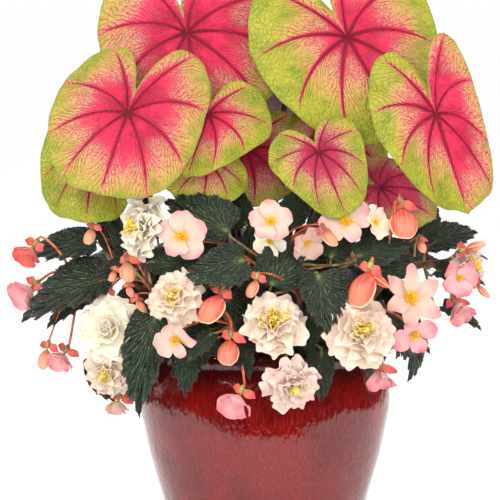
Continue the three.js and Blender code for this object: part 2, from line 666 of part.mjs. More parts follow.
// A ring of petals as one lobed cup about the origin, facing up. Each petal has a rounded tip
// between two notches, its sides curl up, and every other one may be narrower.
function corolla({ petals, radius, lift, notch, narrow = 1, turn = 0, height = 0 }, grow) {
  const place = (angle, reach, rise) => {
    const out = reach * Math.cos(lift);
    return new THREE.Vector3(
      out * Math.cos(angle), out * Math.sin(angle), height + reach * Math.sin(lift) + rise * radius,
    );
  };
  const points = [place(0, 0, 0)];
  const faces = [];
  const rim = [];
  for (let i = 0; i < petals; i += 1) {
    const slim = i % 2 === 1 ? narrow : 1;
    const middle = turn + (2 * Math.PI * i) / petals;
    const side = (PETAL.side * slim * 2 * Math.PI) / petals;
    const length = radius * (slim === 1 ? 1 : 0.9);
    points.push(place(middle, PETAL.heart * length, 0));
    points.push(place(middle - side, PETAL.shoulder * length, PETAL.curl));
    points.push(place(middle, length, 0.2 * PETAL.curl));
    points.push(place(middle + side, PETAL.shoulder * length, PETAL.curl));
    points.push(place(middle + Math.PI / petals, notch * radius, 0));
    const heart = 1 + 5 * i;
    const next = 1 + 5 * ((i + 1) % petals);
    const [left, tip, right, gap] = [heart + 1, heart + 2, heart + 3, heart + 4];
    faces.push([0, heart, next], [heart, left, tip], [heart, tip, right]);
    faces.push([heart, right, gap], [heart, gap, next], [next, gap, next + 1]);
    rim.push(left, tip, right, gap);
  }
  return blade({ points, faces, rim }, PETAL.thickness, grow);
}

// Puts a bloom that was made about the origin, facing up, in its place.
function settle(solid, at, face) {
  const turned = new THREE.Matrix4().makeRotationFromQuaternion(
    new THREE.Quaternion().setFromUnitVectors(UP, point(face).normalize()),
  );
  turned.setPosition(...at);
  return solid.transform(turned.elements);
}

// A double bloom: cups of petals one in another, each steeper than the one outside it, held
// together in the middle.
const ROSE_CUPS = [
  { petals: 5, share: 1, lift: 12, notch: 0.62, turn: 0, height: 0 },
  { petals: 4, share: 0.78, lift: 34, notch: 0.58, turn: 0.6, height: 0.06 },
  { petals: 3, share: 0.5, lift: 56, notch: 0.55, turn: 0.2, height: 0.12 },
];

function rose({ at, face, radius }, grow) {
  const pieces = ROSE_CUPS.map((cup) => corolla({
    ...cup,
    radius: cup.share * radius,
    lift: THREE.MathUtils.degToRad(cup.lift),
    height: cup.height * radius,
  }, grow));
  const heart = [new THREE.Vector3(0, 0, -0.02 * radius), new THREE.Vector3(0, 0, 0.15 * radius)];
  pieces.push(rod(heart, 0.07 * radius, 3, 1, grow));
  return settle(joined(pieces), at, face);
}

// A single bloom has broad and narrow petals by turns when it has four, and five alike otherwise.
function singleBloom({ at, face, radius, petals, stamens: open }, grow) {
  const solid = corolla({
    petals,
    radius,
    lift: THREE.MathUtils.degToRad(open ? 14 : 38),
    notch: 0.46,
    narrow: petals === 4 ? 0.62 : 1,
    turn: 0.4,
  }, grow);
  return settle(solid, at, face);
}

// The yellow stamens stand as a small head on the middle of a single bloom.
function stamens({ at, face, radius }, grow) {
  const facing = point(face).normalize();
  const geometry = new THREE.IcosahedronGeometry(STAMENS.radius * radius + grow, 0);
  geometry.translate(...point(at).addScaledVector(facing, STAMENS.height * radius));
  return solidFrom(geometry);
}

// A bud is one closed petal, or two side by side.
function bud({ at, petals }, grow) {
  return joined(petals.map(({ face, length, radius, flat }) => {
    const points = BUD_PROFILE.map(([wide, high]) => new THREE.Vector2(
      wide * (radius + grow), high * (length + 2 * grow) - grow,
    ));
    const geometry = new THREE.LatheGeometry(points, BUD_SIDES);
    geometry.rotateX(Math.PI / 2);
    geometry.scale(1, flat, 1);
    return settle(solidFrom(geometry), at, face);
  }));
}

// ---------------------------------------------------------------- the whole planting

// The pieces in the order in which they are placed. A piece that would cross one placed before
// it gives way to it and stays clear of it by the clearance.
function planting() {
  const list = [];
  Object.entries(CALADIUM_LEAVES).forEach(([letter, leaf], i) => {
    const make = (grow) => caladiumLeaf(leaf, i, grow);
    list.push({ name: `caladium_leaf_${letter}`, colour: 'caladium', rooted: true, make });
  });
  for (const [name, spec] of Object.entries(ROSES)) {
    list.push({ name, colour: spec.colour, make: (grow) => rose(spec, grow) });
  }
  for (const [name, spec] of Object.entries(SINGLES)) {
    list.push({ name, colour: spec.colour, make: (grow) => singleBloom(spec, grow) });
    if (spec.stamens) {
      list.push({ name: `${name}_stamens`, colour: 'stamen', make: (grow) => stamens(spec, grow) });
    }
  }
  for (const [name, spec] of Object.entries(BUDS)) {
    list.push({ name, colour: 'coral', make: (grow) => bud(spec, grow) });
  }
  for (const [name, stem] of Object.entries(LEAFY_STEMS)) {
    const make = (grow) => leafyStem(stem, grow);
    list.push({ name: `leafy_stem_${name}`, colour: 'foliage', rooted: true, make });
  }
  return list;
}

function meshOf(name, solid, colour) {
  const material = new THREE.MeshStandardMaterial({
    color: COLOURS[colour],
    roughness: colour === 'glaze' ? 0.15 : 0.6,
    metalness: 0,
    flatShading: true,
  });
  const mesh = new THREE.Mesh(geometryOf(solid), material);
  mesh.name = name;
  return mesh;
}

const pottedBegonia = new THREE.Group();
const pot = makePot();
const placed = [pot];
const rooted = [];
for (const { name, colour, rooted: inSoil, make } of planting()) {
  let solid = make(0);
  for (const other of placed) {
    if (boxesMeet(solid, other)) solid = solid.subtract(other);
  }
  solid = mainBody(solid.simplify(SIMPLIFY));
  const grown = make(CLEARANCE);
  placed.push(grown);
  if (inSoil) rooted.push(grown);
  pottedBegonia.add(meshOf(name, solid, colour));
}
pottedBegonia.add(meshOf('pot', pot, 'glaze'));
pottedBegonia.add(meshOf('soil', mainBody(makeSoil(rooted)), 'soil'));

export default pottedBegonia;
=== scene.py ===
# %% [markdown]
# # A potted begonia under a caladium
# A glazed pot holds two plants. The big heart-shaped leaves are a caladium's, and the dark
# toothed leaves and the cream, pink and coral blooms below them are a begonia's. The packed
# solids say where every leaf, stem and bloom is. This lesson models the fine ones in their
# place. Everything is in metres, in the frame of the solids: +Z is up, the front faces -Y,
# and the origin is the middle of the pot's foot.

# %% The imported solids
import math

import bpy
import numpy as np
from mathutils import Matrix, Vector


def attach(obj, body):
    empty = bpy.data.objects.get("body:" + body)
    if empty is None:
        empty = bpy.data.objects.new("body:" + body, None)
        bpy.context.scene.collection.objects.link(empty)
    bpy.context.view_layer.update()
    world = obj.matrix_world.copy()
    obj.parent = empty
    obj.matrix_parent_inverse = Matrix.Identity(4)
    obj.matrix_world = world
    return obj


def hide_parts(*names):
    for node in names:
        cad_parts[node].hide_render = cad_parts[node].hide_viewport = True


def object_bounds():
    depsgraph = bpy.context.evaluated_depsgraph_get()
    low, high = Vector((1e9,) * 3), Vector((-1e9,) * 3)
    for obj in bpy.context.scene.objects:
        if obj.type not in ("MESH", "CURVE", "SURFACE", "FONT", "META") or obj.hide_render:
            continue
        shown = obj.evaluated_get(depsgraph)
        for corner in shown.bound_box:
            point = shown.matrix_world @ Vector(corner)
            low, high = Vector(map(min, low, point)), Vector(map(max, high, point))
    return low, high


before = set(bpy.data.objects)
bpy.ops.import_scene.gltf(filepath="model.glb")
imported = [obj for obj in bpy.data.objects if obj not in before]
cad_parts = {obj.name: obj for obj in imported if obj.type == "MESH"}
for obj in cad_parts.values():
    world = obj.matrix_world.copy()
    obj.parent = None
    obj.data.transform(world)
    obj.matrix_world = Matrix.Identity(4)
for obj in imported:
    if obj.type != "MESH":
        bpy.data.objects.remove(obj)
cad_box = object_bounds()
UP = Vector((0, 0, 1))
rng = np.random.default_rng(7)
print("the solids reach from", tuple(cad_box[0]), "to", tuple(cad_box[1]))

# %% [markdown]
# ## The camera
# The photograph was taken from some way off, a little above the rim. A long lens 3 m away
# gives that flat look. The picture is square and shows a field of 525 mm at the pot's axis.
# Its tones are shown plainly, with no film curve, so that white stays white and red stays red.

# %% Camera
CAMERA_DISTANCE = 3.0
CAMERA_ELEVATION = math.radians(5)
CAMERA_FIELD = 0.525
CAMERA_TARGET = Vector((-0.01575, 0, 0.355))

back_off = Vector((0, -math.cos(CAMERA_ELEVATION), math.sin(CAMERA_ELEVATION)))
bpy.ops.object.camera_add(location=CAMERA_TARGET + CAMERA_DISTANCE * back_off)
camera = bpy.context.object
camera.rotation_euler = (math.pi / 2 - CAMERA_ELEVATION, 0, 0)
camera.data.sensor_width = 36
camera.data.lens = camera.data.sensor_width * CAMERA_DISTANCE / CAMERA_FIELD
camera.data.clip_end = 500
bpy.context.scene.camera = camera
bpy.context.scene.view_settings.view_transform = "Standard"
print("lens, mm:", round(camera.data.lens, 1))

# %% [markdown]
# ## Nodes in words
# A material is a tree of nodes. These helpers add a node and fill its sockets with numbers or
# with what another node puts out. That is kept as a Flow, and plain arithmetic on a Flow adds
# the Math nodes, so a finish reads as a few lines.


# %% Helpers for materials
class Flow:
    """What a node puts out, and the tree that it is in."""

    def __init__(self, socket):
        self.socket = socket
        self.tree = socket.id_data

    def __add__(self, other):
        return calculate("ADD", self, other)

    def __sub__(self, other):
        return calculate("SUBTRACT", self, other)

    def __rsub__(self, other):
        return calculate("SUBTRACT", other, self)

    def __mul__(self, other):
        return calculate("MULTIPLY", self, other)

    def __truediv__(self, other):
        return calculate("DIVIDE", self, other)

    def __abs__(self):
        return calculate("ABSOLUTE", self)

    __radd__, __rmul__ = __add__, __mul__


def plug(value, socket):
    """Links a flow to a socket, or writes a number or a colour in it."""
    if isinstance(value, Flow):
        value.tree.links.new(value.socket, socket)
    else:
        socket.default_value = value


def add_node(tree, kind, inputs, **settings):
    node = tree.nodes.new("ShaderNode" + kind)
    for key, value in settings.items():
        setattr(node, key, value)
    for key, value in dict(inputs).items():
        plug(value, node.inputs[key])
    return node


def add(tree, kind, inputs=(), output=0, **settings):
    return Flow(add_node(tree, kind, inputs, **settings).outputs[output])


def split(vector):
    """The three parts of a vector."""
    return [Flow(part) for part in add_node(vector.tree, "SeparateXYZ", {0: vector}).outputs]


def calculate(operation, *values):
    tree = next(value.tree for value in values if isinstance(value, Flow))
    return add(tree, "Math", enumerate(values), operation=operation)


def blend(share, one, other):
    """A colour between two others."""
    return add(share.tree, "Mix", {0: share, 6: one, 7: other}, output=2, data_type="RGBA")


def fade(value, start, end, low=0, high=1):
    """A smooth step: low before start and high beyond end."""
    inputs = {0: value, 1: start, 2: end, 3: low, 4: high}
    return add(value.tree, "MapRange", inputs, interpolation_type="SMOOTHSTEP")


def noise(where, scale, detail=3, rough=0.55):
    inputs = {"Vector": where, "Scale": scale, "Detail": detail, "Roughness": rough}
    return add(where.tree, "TexNoise", inputs)


def cell_edge(where, scale):
    """How far a point is from the nearest edge in a net of cells."""
    return add(where.tree, "TexVoronoi", {"Vector": where, "Scale": scale}, feature="DISTANCE_TO_EDGE")


def stretched(where, scale):
    return add(where.tree, "Mapping", {"Vector": where, "Scale": scale})


def bumped(height, distance):
    return add(height.tree, "Bump", {"Height": height, "Distance": distance})


def off_line(slant):
    """Lines run halfway between whole numbers. This is how far a value is from one, 0 to 0.5."""
    return abs(calculate("FRACT", slant) - 0.5)


def colour(code):
    """A colour from its red, green and blue bytes, as the linear values that a shader takes."""
    parts = [int(code[i:i + 2], 16) / 255 for i in (0, 2, 4)]
    return tuple(c / 12.92 if c <= 0.04045 else ((c + 0.055) / 1.055) ** 2.4 for c in parts) + (1,)


def colours(*codes):
    return [colour(code) for code in codes]


def new_material(name):
    """A material, its shader, and the place of each point on the object."""
    material = bpy.data.materials.new(name)
    material.use_nodes = True
    tree = material.node_tree
    return material, tree.nodes["Principled BSDF"], add(tree, "TexCoord", output="Object")


def uv_map(place, name):
    return add(place.tree, "UVMap", uv_map=name)


def attribute(place, name):
    """A value that each corner of the mesh carries."""
    return add(place.tree, "Attribute", output="Fac", attribute_name=name)


def finish_with(shader, **values):
    """Sets the shader's own sockets, or links them where a pattern varies them."""
    for key, value in values.items():
        plug(value, shader.inputs[key.replace("_", " ")])


# %% [markdown]
# ## Floor and light
# The floor is plain and pale, and runs far back so that it fills the picture. The light is a
# photographer's: a white tent all round, dimmer high up behind the camera, and three soft
# lamps in front. A glossy glaze mirrors the room, so what it mirrors matters. In a real studio
# the white paper ends half a metre in front of the pot, and the room beyond is dark. The red
# of the upper wall stays deep for that reason, while the lower wall mirrors the paper. So rays
# that left a glossy surface find the dark room, and all other rays find the white tent. The
# front lamp is hidden from glossy rays, so that it leaves no white square on the glaze.

# %% Floor and lamps
FLOOR_SIZE = 800
PAPER_FRONT, PAPER_SIDE = 0.46, 1.3         # how far the paper reaches from the pot's axis
TENT_GLOW, DIM_GLOW, DARK_GLOW = 1.22, 0.12, 0.04
LAMPS_AIM = Vector((0, 0, 0.35))

bpy.ops.mesh.primitive_plane_add(size=FLOOR_SIZE, location=(0, 0, 0))
floor = bpy.context.object
floor.name = "floor"
paper, shader, place = new_material("white_floor")
right, back, _ = split(place)
beyond = calculate("MAXIMUM", calculate("LESS_THAN", back, -PAPER_FRONT),
                   calculate("GREATER_THAN", abs(right), PAPER_SIDE))
mirrored = add(place.tree, "LightPath", output="Is Glossy Ray")
finish_with(shader, Base_Color=blend(beyond * mirrored, *colours("ffffff", "161212")), Roughness=0.9)
floor.data.materials.append(paper)

world = bpy.data.worlds.new("tent")
world.use_nodes = True
sky = world.node_tree
_, back, above = split(add(sky, "TexCoord", output="Generated"))
high_behind_camera = fade(back, -0.25, -0.6) * fade(above, 0.10, 0.24)
tent_glow = TENT_GLOW - (TENT_GLOW - DIM_GLOW) * high_behind_camera
dark_room = fade(back, 0.45, 0.30) * fade(above, 0.42, 0.30)
room_glow = TENT_GLOW - (TENT_GLOW - DARK_GLOW) * dark_room
mirrored = add(sky, "LightPath", output="Is Glossy Ray")
glow = add(sky, "Mix", {0: mirrored, 2: tent_glow, 3: room_glow})
plug(glow, sky.nodes["Background"].inputs["Strength"])
plug(colour("ffffff"), sky.nodes["Background"].inputs["Color"])
bpy.context.scene.world = world


def soft_lamp(name, place, size, power):
    bpy.ops.object.light_add(type="AREA", location=place)
    lamp = bpy.context.object
    lamp.name = name
    lamp.data.size = size
    lamp.data.energy = power
    lamp.rotation_euler = (LAMPS_AIM - Vector(place)).to_track_quat("-Z", "Y").to_euler()
    return lamp


soft_lamp("key_lamp", (-1.5, -1.9, 2.0), 1.0, 39)
soft_lamp("fill_lamp", (1.9, -1.6, 1.5), 1.0, 20)
front_lamp = soft_lamp("front_lamp", (0.1, -2.8, 1.2), 1.6, 38)
front_lamp.visible_glossy = False

# %% [markdown]
# ## Helpers for modelling
# An operator works on what is selected, so each helper first drops the old selection. Every
# leaf and petal here is a thin sheet, and starts as a grid primitive. The grid's columns run
# across it and its rows from its base to its edge. Its corners are then moved to the curved
# surface by a formula, which no operator could do so exactly, and it gets its thickness from
# a Solidify modifier.


# %% Selecting, joining and finishing
def deselect():
    if bpy.context.object and bpy.context.object.mode == "EDIT":
        bpy.ops.object.mode_set(mode="OBJECT")
    bpy.ops.object.select_all(action="DESELECT")


def pick(*objects):
    deselect()
    for chosen in objects:
        chosen.select_set(True)
    bpy.context.view_layer.objects.active = objects[0]


def apply_modifiers(piece):
    pick(piece)
    for name in [modifier.name for modifier in piece.modifiers]:
        bpy.ops.object.modifier_apply(modifier=name)


def edit_all(piece, *steps):
    """Runs edit-mode operators on the whole of a piece."""
    pick(piece)
    bpy.ops.object.mode_set(mode="EDIT")
    bpy.ops.mesh.select_all(action="SELECT")
    for step in steps:
        step()
    bpy.ops.object.mode_set(mode="OBJECT")


def merge_corners():
    bpy.ops.mesh.remove_doubles(threshold=1e-6)


def face_out():
    bpy.ops.mesh.normals_make_consistent(inside=False)


def joined(pieces, name, finish=None):
    pick(*pieces)
    if len(pieces) > 1:
        bpy.ops.object.join()
    whole = bpy.context.object
    whole.name = name
    whole.data.name = name
    if finish:
        paint(whole, finish)
    return whole


def copy_of(master, name):
    twin = master.copy()
    twin.data = master.data.copy()
    twin.name = name
    bpy.context.collection.objects.link(twin)
    return twin


def coords(piece):
    flat = np.empty(len(piece.data.vertices) * 3, np.float32)
    piece.data.vertices.foreach_get("co", flat)
    return flat.reshape(-1, 3).astype(float)


def set_coords(piece, points):
    piece.data.vertices.foreach_set("co", np.asarray(points, np.float32).ravel())
    piece.data.update()


def smooth(piece, angle=None):
    pick(piece)
    if angle is None:
        bpy.ops.object.shade_smooth()
    else:
        bpy.ops.object.shade_smooth_by_angle(angle=math.radians(angle))


def face_up(piece, up):
    """Merges the corners that meet at a sheet's hub and turns its faces to its upper side."""
    edit_all(piece, merge_corners)
    lean = sum((face.area * face.normal for face in piece.data.polygons), Vector())
    if lean.dot(up) < 0:
        edit_all(piece, bpy.ops.mesh.flip_normals)


def paint(piece, *materials):
    piece.data.materials.clear()
    for material in materials:
        piece.data.materials.append(material)


def settle(piece, matrix):
    """Moves a piece that was modelled about the origin to its place, in its mesh."""
    points = coords(piece)
    turn = np.array(matrix.to_3x3())
    set_coords(piece, points @ turn.T + np.array(matrix.translation))


def turned(angle, axis):
    return Matrix.Rotation(angle, 4, axis)


def dress(piece, node):
    """The piece moves with the body and stands for the node, whose solid it hides."""
    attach(piece, "root")
    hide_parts(node)


# %% [markdown]
# ### Thin sheets and tapering rods
# A sheet's grid keeps its own two coordinates: "across" from 0 to 1 over the columns and
# "out" from 0 to 1 over the rows. A rod is a path that is given a round profile, thinner
# towards its end, and is then turned into a mesh.


# %% Sheets and rods
def sheet_grid(name, columns, rows):
    deselect()
    bpy.ops.mesh.primitive_grid_add(x_subdivisions=columns, y_subdivisions=rows, size=1)
    grid = bpy.context.object
    grid.name = name
    return grid


def grid_shares(grid):
    """For each corner of a grid primitive, its shares across and out."""
    points = coords(grid)
    return points[:, 0] + 0.5, points[:, 1] + 0.5


def spoke_grid(name, side, rings):
    """A grid with so many spokes on each side of the midrib. Left spokes count below 0."""
    grid = sheet_grid(name, 2 * side, rings)
    across, out = grid_shares(grid)
    return grid, np.rint(across * 2 * side).astype(int) - side, out


def set_uv(piece, name, first, second):
    """A UV map from two values at each corner of the mesh."""
    layer = piece.data.uv_layers.new(name=name)
    corners = np.empty(len(piece.data.loops), np.int32)
    piece.data.loops.foreach_get("vertex_index", corners)
    layer.data.foreach_set("uv", np.stack([first[corners], second[corners]], 1).astype(np.float32).ravel())


def set_attribute(piece, name, values):
    """A value at each corner of the mesh, which a finish can read."""
    layer = piece.data.attributes.new(name, "FLOAT", "POINT")
    layer.data.foreach_set("value", np.asarray(values, np.float32))


def thicken(piece, thickness, under_slot=0):
    """Gives a sheet its thickness, half to each side. Its underside may have its own finish."""
    solid = piece.modifiers.new("thickness", "SOLIDIFY")
    solid.thickness = thickness
    solid.offset = 0
    solid.material_offset = under_slot
    apply_modifiers(piece)


def smooth_route(points, steps):
    """Points on a smooth curve through the given ones, evenly spaced along it."""
    p = [np.array(q, float) for q in points]
    p = [2 * p[0] - p[1], *p, 2 * p[-1] - p[-2]]
    fine = []
    for a, b, c, d in zip(p, p[1:], p[2:], p[3:]):
        for t in np.linspace(0, 1, 12, endpoint=False):
            fine.append(0.5 * (2 * b + (c - a) * t + (2 * a - 5 * b + 4 * c - d) * t ** 2
                               + (3 * b - a - 3 * c + d) * t ** 3))
    fine = np.array([*fine, p[-2]])
    along = np.concatenate([[0], np.cumsum(np.linalg.norm(np.diff(fine, axis=0), axis=1))])
    stops = np.linspace(0, along[-1], steps + 1)
    return np.stack([np.interp(stops, along, fine[:, axis]) for axis in range(3)], 1)


def rod(name, route, thick, thin, material, sides, steps):
    """A round rod along a route, with radius thick at its start and thin at its end."""
    deselect()
    bpy.ops.curve.primitive_nurbs_path_add()
    path = bpy.context.object
    path.name = name
    path.data.splines.clear()
    points = smooth_route(route, steps)
    spline = path.data.splines.new("POLY")
    spline.points.add(len(points) - 1)
    for i, (corner, p) in enumerate(zip(spline.points, points)):
        corner.co = (*p, 1)
        corner.radius = thick + (thin - thick) * i / steps
    path.data.bevel_depth = 1
    path.data.bevel_resolution = (sides - 4) // 2
    path.data.use_fill_caps = True
    path.location = (0, 0, 0)
    bpy.ops.object.convert(target="MESH")
    made = bpy.context.object
    paint(made, material)
    smooth(made, 60)
    return made


# %% [markdown]
# ## The glaze
# The pot's red glaze ran in the kiln. It is brighter in patches where it is thin, and streaked
# downwards everywhere. The rim and the wall just under it are painted darker, as painted shade
# where the leaves hang over. It is as smooth as glass, but faint waves and pits break up what it
# mirrors, and it gleams unevenly. Noise that is drawn out along Z gives the runs. It reads the pot's
# own coordinates and not a UV map, so that no seam shows round the wall.

# %% Glaze finish
glaze, shader, place = new_material("oxblood_glaze")
height = split(place)[2]
runs = noise(stretched(place, (1, 1, 0.06)), 900, 4)
broad = noise(stretched(place, (1, 1, 0.7)), 14)
grain = noise(place, 900, 2)
painted_rim_shade = fade(height + 0.05 * broad, 0.235, 0.27)
red = blend(fade(broad, 0.40, 0.62), *colours("5a0406", "720806"))
red = blend(fade(runs, 0.46, 0.70, 0, 0.40), red, colour("a0281c"))
red = blend(fade(runs, 0.5, 0.3, 0, 0.45), red, colour("340204"))
# Painted shade: the rim and the wall just under it are darkened, where the leaves hang over.
red = blend(fade(painted_rim_shade, 0, 1, 0, 0.8), red, colour("240305"))
waves = noise(place, 30, 2)
pits = noise(stretched(place, (1, 1, 0.5)), 240, 2)
ripple = waves + 0.34 * pits + 0.012 * grain
gleam = fade(noise(stretched(place, (1, 1, 0.35)), 1000), 0.36, 0.64, 0.38, 0.58)
finish_with(shader, Base_Color=red, Roughness=0.05, IOR=1.56, Specular_IOR_Level=gleam,
            Coat_Weight=0.15, Coat_Roughness=0.02, Normal=bumped(ripple, 0.0018))
print("glaze nodes:", len(place.tree.nodes))

# %% [markdown]
# ## The pot
# A thrown pot is a turned shape, so its wall is drawn as an outline from the foot up, over
# the rim and down the inside, and spun about its axis. A bevel on the spun wall would be
# uneven, so the round rim is in the outline. Three drain holes are cut in the floor.

# %% Pot
POT_TURNS = 144
FLOOR_THICKNESS = 0.013
POT_WALL = [
    (0.078, 0.0), (0.0805, 0.0012), (0.083, 0.008), (0.0948, 0.05), (0.107, 0.092), (0.1153, 0.12),
    (0.122, 0.144), (0.1275, 0.17), (0.1312, 0.19), (0.1318, 0.204), (0.1302, 0.218), (0.1275, 0.231),
    (0.1248, 0.241), (0.1252, 0.2445), (0.1266, 0.247), (0.1272, 0.2505), (0.1266, 0.254),
    (0.1248, 0.257), (0.1215, 0.258), (0.118, 0.2575), (0.1158, 0.2555), (0.1138, 0.25),
    (0.1165, 0.236), (0.121, 0.205), (0.096, 0.109), (0.071, FLOOR_THICKNESS), (0.0, FLOOR_THICKNESS),
]
DRAIN_AWAY, DRAIN_RADIUS, DRAINS = 0.035, 0.006, 3


def spun(name, outline, turns):
    """A solid of revolution: a flat outline, drawn by extruding one corner, is spun about Z."""
    deselect()
    bpy.ops.mesh.primitive_plane_add(size=0.01)
    piece = bpy.context.object
    piece.name = name
    bpy.ops.object.mode_set(mode="EDIT")
    bpy.ops.mesh.select_all(action="SELECT")
    bpy.ops.mesh.merge(type="CENTER")
    bpy.ops.transform.translate(value=(outline[0][0], 0, outline[0][1]))
    for (r0, z0), (r1, z1) in zip(outline, outline[1:]):
        bpy.ops.mesh.extrude_region_move(TRANSFORM_OT_translate={"value": (r1 - r0, 0, z1 - z0)})
    bpy.ops.mesh.select_all(action="SELECT")
    bpy.ops.mesh.spin(steps=turns, angle=2 * math.pi, center=(0, 0, 0), axis=(0, 0, 1))
    bpy.ops.mesh.select_all(action="SELECT")
    bpy.ops.mesh.remove_doubles(threshold=1e-5)
    face_out()
    bpy.ops.object.mode_set(mode="OBJECT")
    return piece


pot = spun("glazed_pot", [(0.0, 0.0), *POT_WALL], POT_TURNS)
for i in range(DRAINS):
    turn = 2 * math.pi * i / DRAINS
    spot = (DRAIN_AWAY * math.cos(turn), DRAIN_AWAY * math.sin(turn), 0.006)
    bpy.ops.mesh.primitive_cylinder_add(radius=DRAIN_RADIUS, depth=0.04, vertices=32, location=spot)
    drill = bpy.context.object
    cut = pot.modifiers.new("drain", "BOOLEAN")
    cut.operation = "DIFFERENCE"
    cut.object = drill
    apply_modifiers(pot)
    bpy.data.objects.remove(drill)
paint(pot, glaze)
smooth(pot, 40)
dress(pot, "pot")
print("pot faces:", len(pot.data.polygons))

# %% [markdown]
# ## The soil
# Potting soil is a loose dark mix of peat and bark. One noise with much detail gives both its
# light and dark grains and its bump, so that the two agree.

# %% Soil finish
soil_mix, shader, place = new_material("potting_soil")
lumps = noise(place, 260, 5, 0.7)
earth = blend(fade(lumps, 0.35, 0.7), *colours("1c130d", "4a3524"))
finish_with(shader, Base_Color=earth, Roughness=0.95, Specular_IOR_Level=0.2, Normal=bumped(lumps, 0.004))
print("soil finish nodes:", len(place.tree.nodes))

# %% [markdown]
# ### Its shape
# The soil fills the pot, so it is spun too. A flat top would look like a lid. This one has many
# rings, whose corners are lifted by chance, and bark crumbs lie on it. Each crumb is a copy of
# one small sphere, stretched and turned by chance.

# %% Soil
SOIL_TOP, SOIL_CROWN, SOIL_EDGE = 0.232, 0.007, 0.1158      # the crown is how far its middle rises
SOIL_SIDE = [(0, 0.0134), (0.0704, 0.0134), (0.1204, 0.205)]
SOIL_RINGS = [(SOIL_EDGE * s, SOIL_TOP + SOIL_CROWN * (1 - s * s)) for s in np.linspace(1, 0, 26)]
TOP_LIFT = -0.0016, 0.0018
CRUMBS = 150
SMALLEST_CRUMB, LARGEST_CRUMB = (0.002, 0.0015, 0.001), (0.006, 0.004, 0.0026)

soil = spun("potting_soil", [*SOIL_SIDE, *SOIL_RINGS], 96)
points = coords(soil)
inner = (points[:, 2] > SOIL_TOP) & (np.hypot(points[:, 0], points[:, 1]) < 0.97 * SOIL_EDGE)
points[inner, 2] += rng.uniform(*TOP_LIFT, inner.sum())
set_coords(soil, points)
crumbs = []
bpy.ops.mesh.primitive_ico_sphere_add(subdivisions=1, radius=1)
crumb = bpy.context.object
for i in range(CRUMBS):
    away, turn = SOIL_EDGE * 0.95 * math.sqrt(rng.uniform()), rng.uniform(0, 2 * math.pi)
    top = SOIL_TOP + SOIL_CROWN * (1 - (away / SOIL_EDGE) ** 2)
    bark = copy_of(crumb, f"bark_{i}")
    size = rng.uniform(SMALLEST_CRUMB, LARGEST_CRUMB)
    spin = turned(rng.uniform(0, 6.3), "Z") @ turned(rng.uniform(-0.4, 0.4), "X")
    lie = Matrix.Translation((away * math.cos(turn), away * math.sin(turn), top + 0.0008))
    settle(bark, lie @ spin @ Matrix.Diagonal((*size, 1)))
    crumbs.append(bark)
bpy.data.objects.remove(crumb)
soil = joined([soil, *crumbs], "potting_soil", soil_mix)
dress(soil, "soil")
print("soil faces:", len(soil.data.polygons))

# %% [markdown]
# ## Caladium finish
# A caladium blade is lime, and crimson spreads from its middle along the veins. Between the
# two lie cream patches, and the crimson breaks up into speckles. A painted leaf would be the
# same on every blade. So each blade carries two helpers instead: a UV map that says how far
# out a point is and how far from the nearest main vein, and a value that says how far the
# crimson reaches. The finish works out the rest from them and from noise.


# %% Caladium finish
def caladium_finish(name, lime, cream, rim, crimson, vein):
    """Lime and crimson go from dark to light, and cream from its lime side to its crimson side."""
    material, shader, place = new_material(name)
    out, away = split(uv_map(place, "veins"))[:2]
    patch = noise(place, 46)
    blotch = noise(place, 150, 3, 0.6)
    fine = noise(place, 640, 3, 0.7)
    other = noise(stretched(place, (1.3, 1.3, 1.3)), 520, 3, 0.7)
    crease = fade(cell_edge(place, 165), 0.07, 0)
    # Side veins leave the main ones and arch outwards. Short strokes stand beside the main ones.
    lean = away * (1.35 - 0.35 * away)
    ribs = off_line(9 * out - 5 * lean + 4 * patch)
    strokes = off_line(19 * out - 11 * lean + 3 * blotch)
    side = fade(ribs, 0.13, 0) * fade(blotch, 0.40, 0.48) * fade(away, 0.90, 0.50)
    gap = out * away
    main = fade(gap / fade(out, 0, 1, 0.076, 0.034), 1, 0.45)
    # The crimson middle, ragged at its edge and drawn out along the veins.
    reach = attribute(place, "crimson") + 0.34 * fade(gap, 0.15, 0) + 0.7 * (patch - 0.5) + 0.12 * side
    drawn = fade(away, 0.50, 0.10) * (0.28 - strokes)
    flecks = fade(reach + 0.7 * drawn + 3.6 * (fine - 0.5), 0.42, 0.56)
    ground = blend(fade(patch, 0.32, 0.60), lime[0], lime[1])
    ground = blend(fade(fine, 0.46, 0.62, 0, 0.6), ground, lime[2])
    ground = blend(0.22 * fade(ribs, 0.05, 0), ground, lime[0])
    # Painted shade: a fine net of creases is darkened towards the darkest lime, where the bump sinks the
    # blade.
    ground = blend(0.45 * crease, ground, lime[0])
    pale = fade(other, 0.42, 0.54, 0.4, 1) * fade(reach, 0, 0.42, 0, 0.95)
    ground = blend(pale, ground, blend(fade(reach, 0.25, 0.7), *cream))
    ground = blend(fade(out, 0.95, 1, 0, 0.7), ground, rim)
    tint = blend(fade(other, 0.40, 0.64), crimson[0], crimson[2])
    mixed = blend(0.9 * flecks, ground, tint)
    core = blend(fade(patch, 0.40, 0.60), crimson[0], crimson[1])
    core = blend(fade(fine, 0.50, 0.68, 0, 0.35), core, crimson[2])
    core = blend(fade(out, 0.26, 0, 0, 0.5), core, crimson[0])
    mixed = blend(fade(reach, 0.50, 0.86), mixed, core)
    side_red = side * fade(reach, 0.06, 0.34) * fade(reach, 0.60, 1, 1, 0.45)
    mixed = blend(side_red, mixed, crimson[0])
    mixed = blend(fade(gap, 0.09, 0, 0, 0.9) * fade(out, 0.94, 0.66), mixed, crimson[0])
    mixed = blend(main * fade(out, 0.98, 0.80), mixed, vein)
    quilt = fade(ribs, 0, 0.3, 0, 0.6) + 0.7 * blotch - 0.25 * crease
    finish_with(shader, Base_Color=mixed, Roughness=0.40, Specular_IOR_Level=0.32,
                Subsurface_Weight=0.06, Subsurface_Scale=0.002, Subsurface_Radius=(1, 0.5, 0.25),
                Normal=bumped(quilt, 0.0010))
    return material


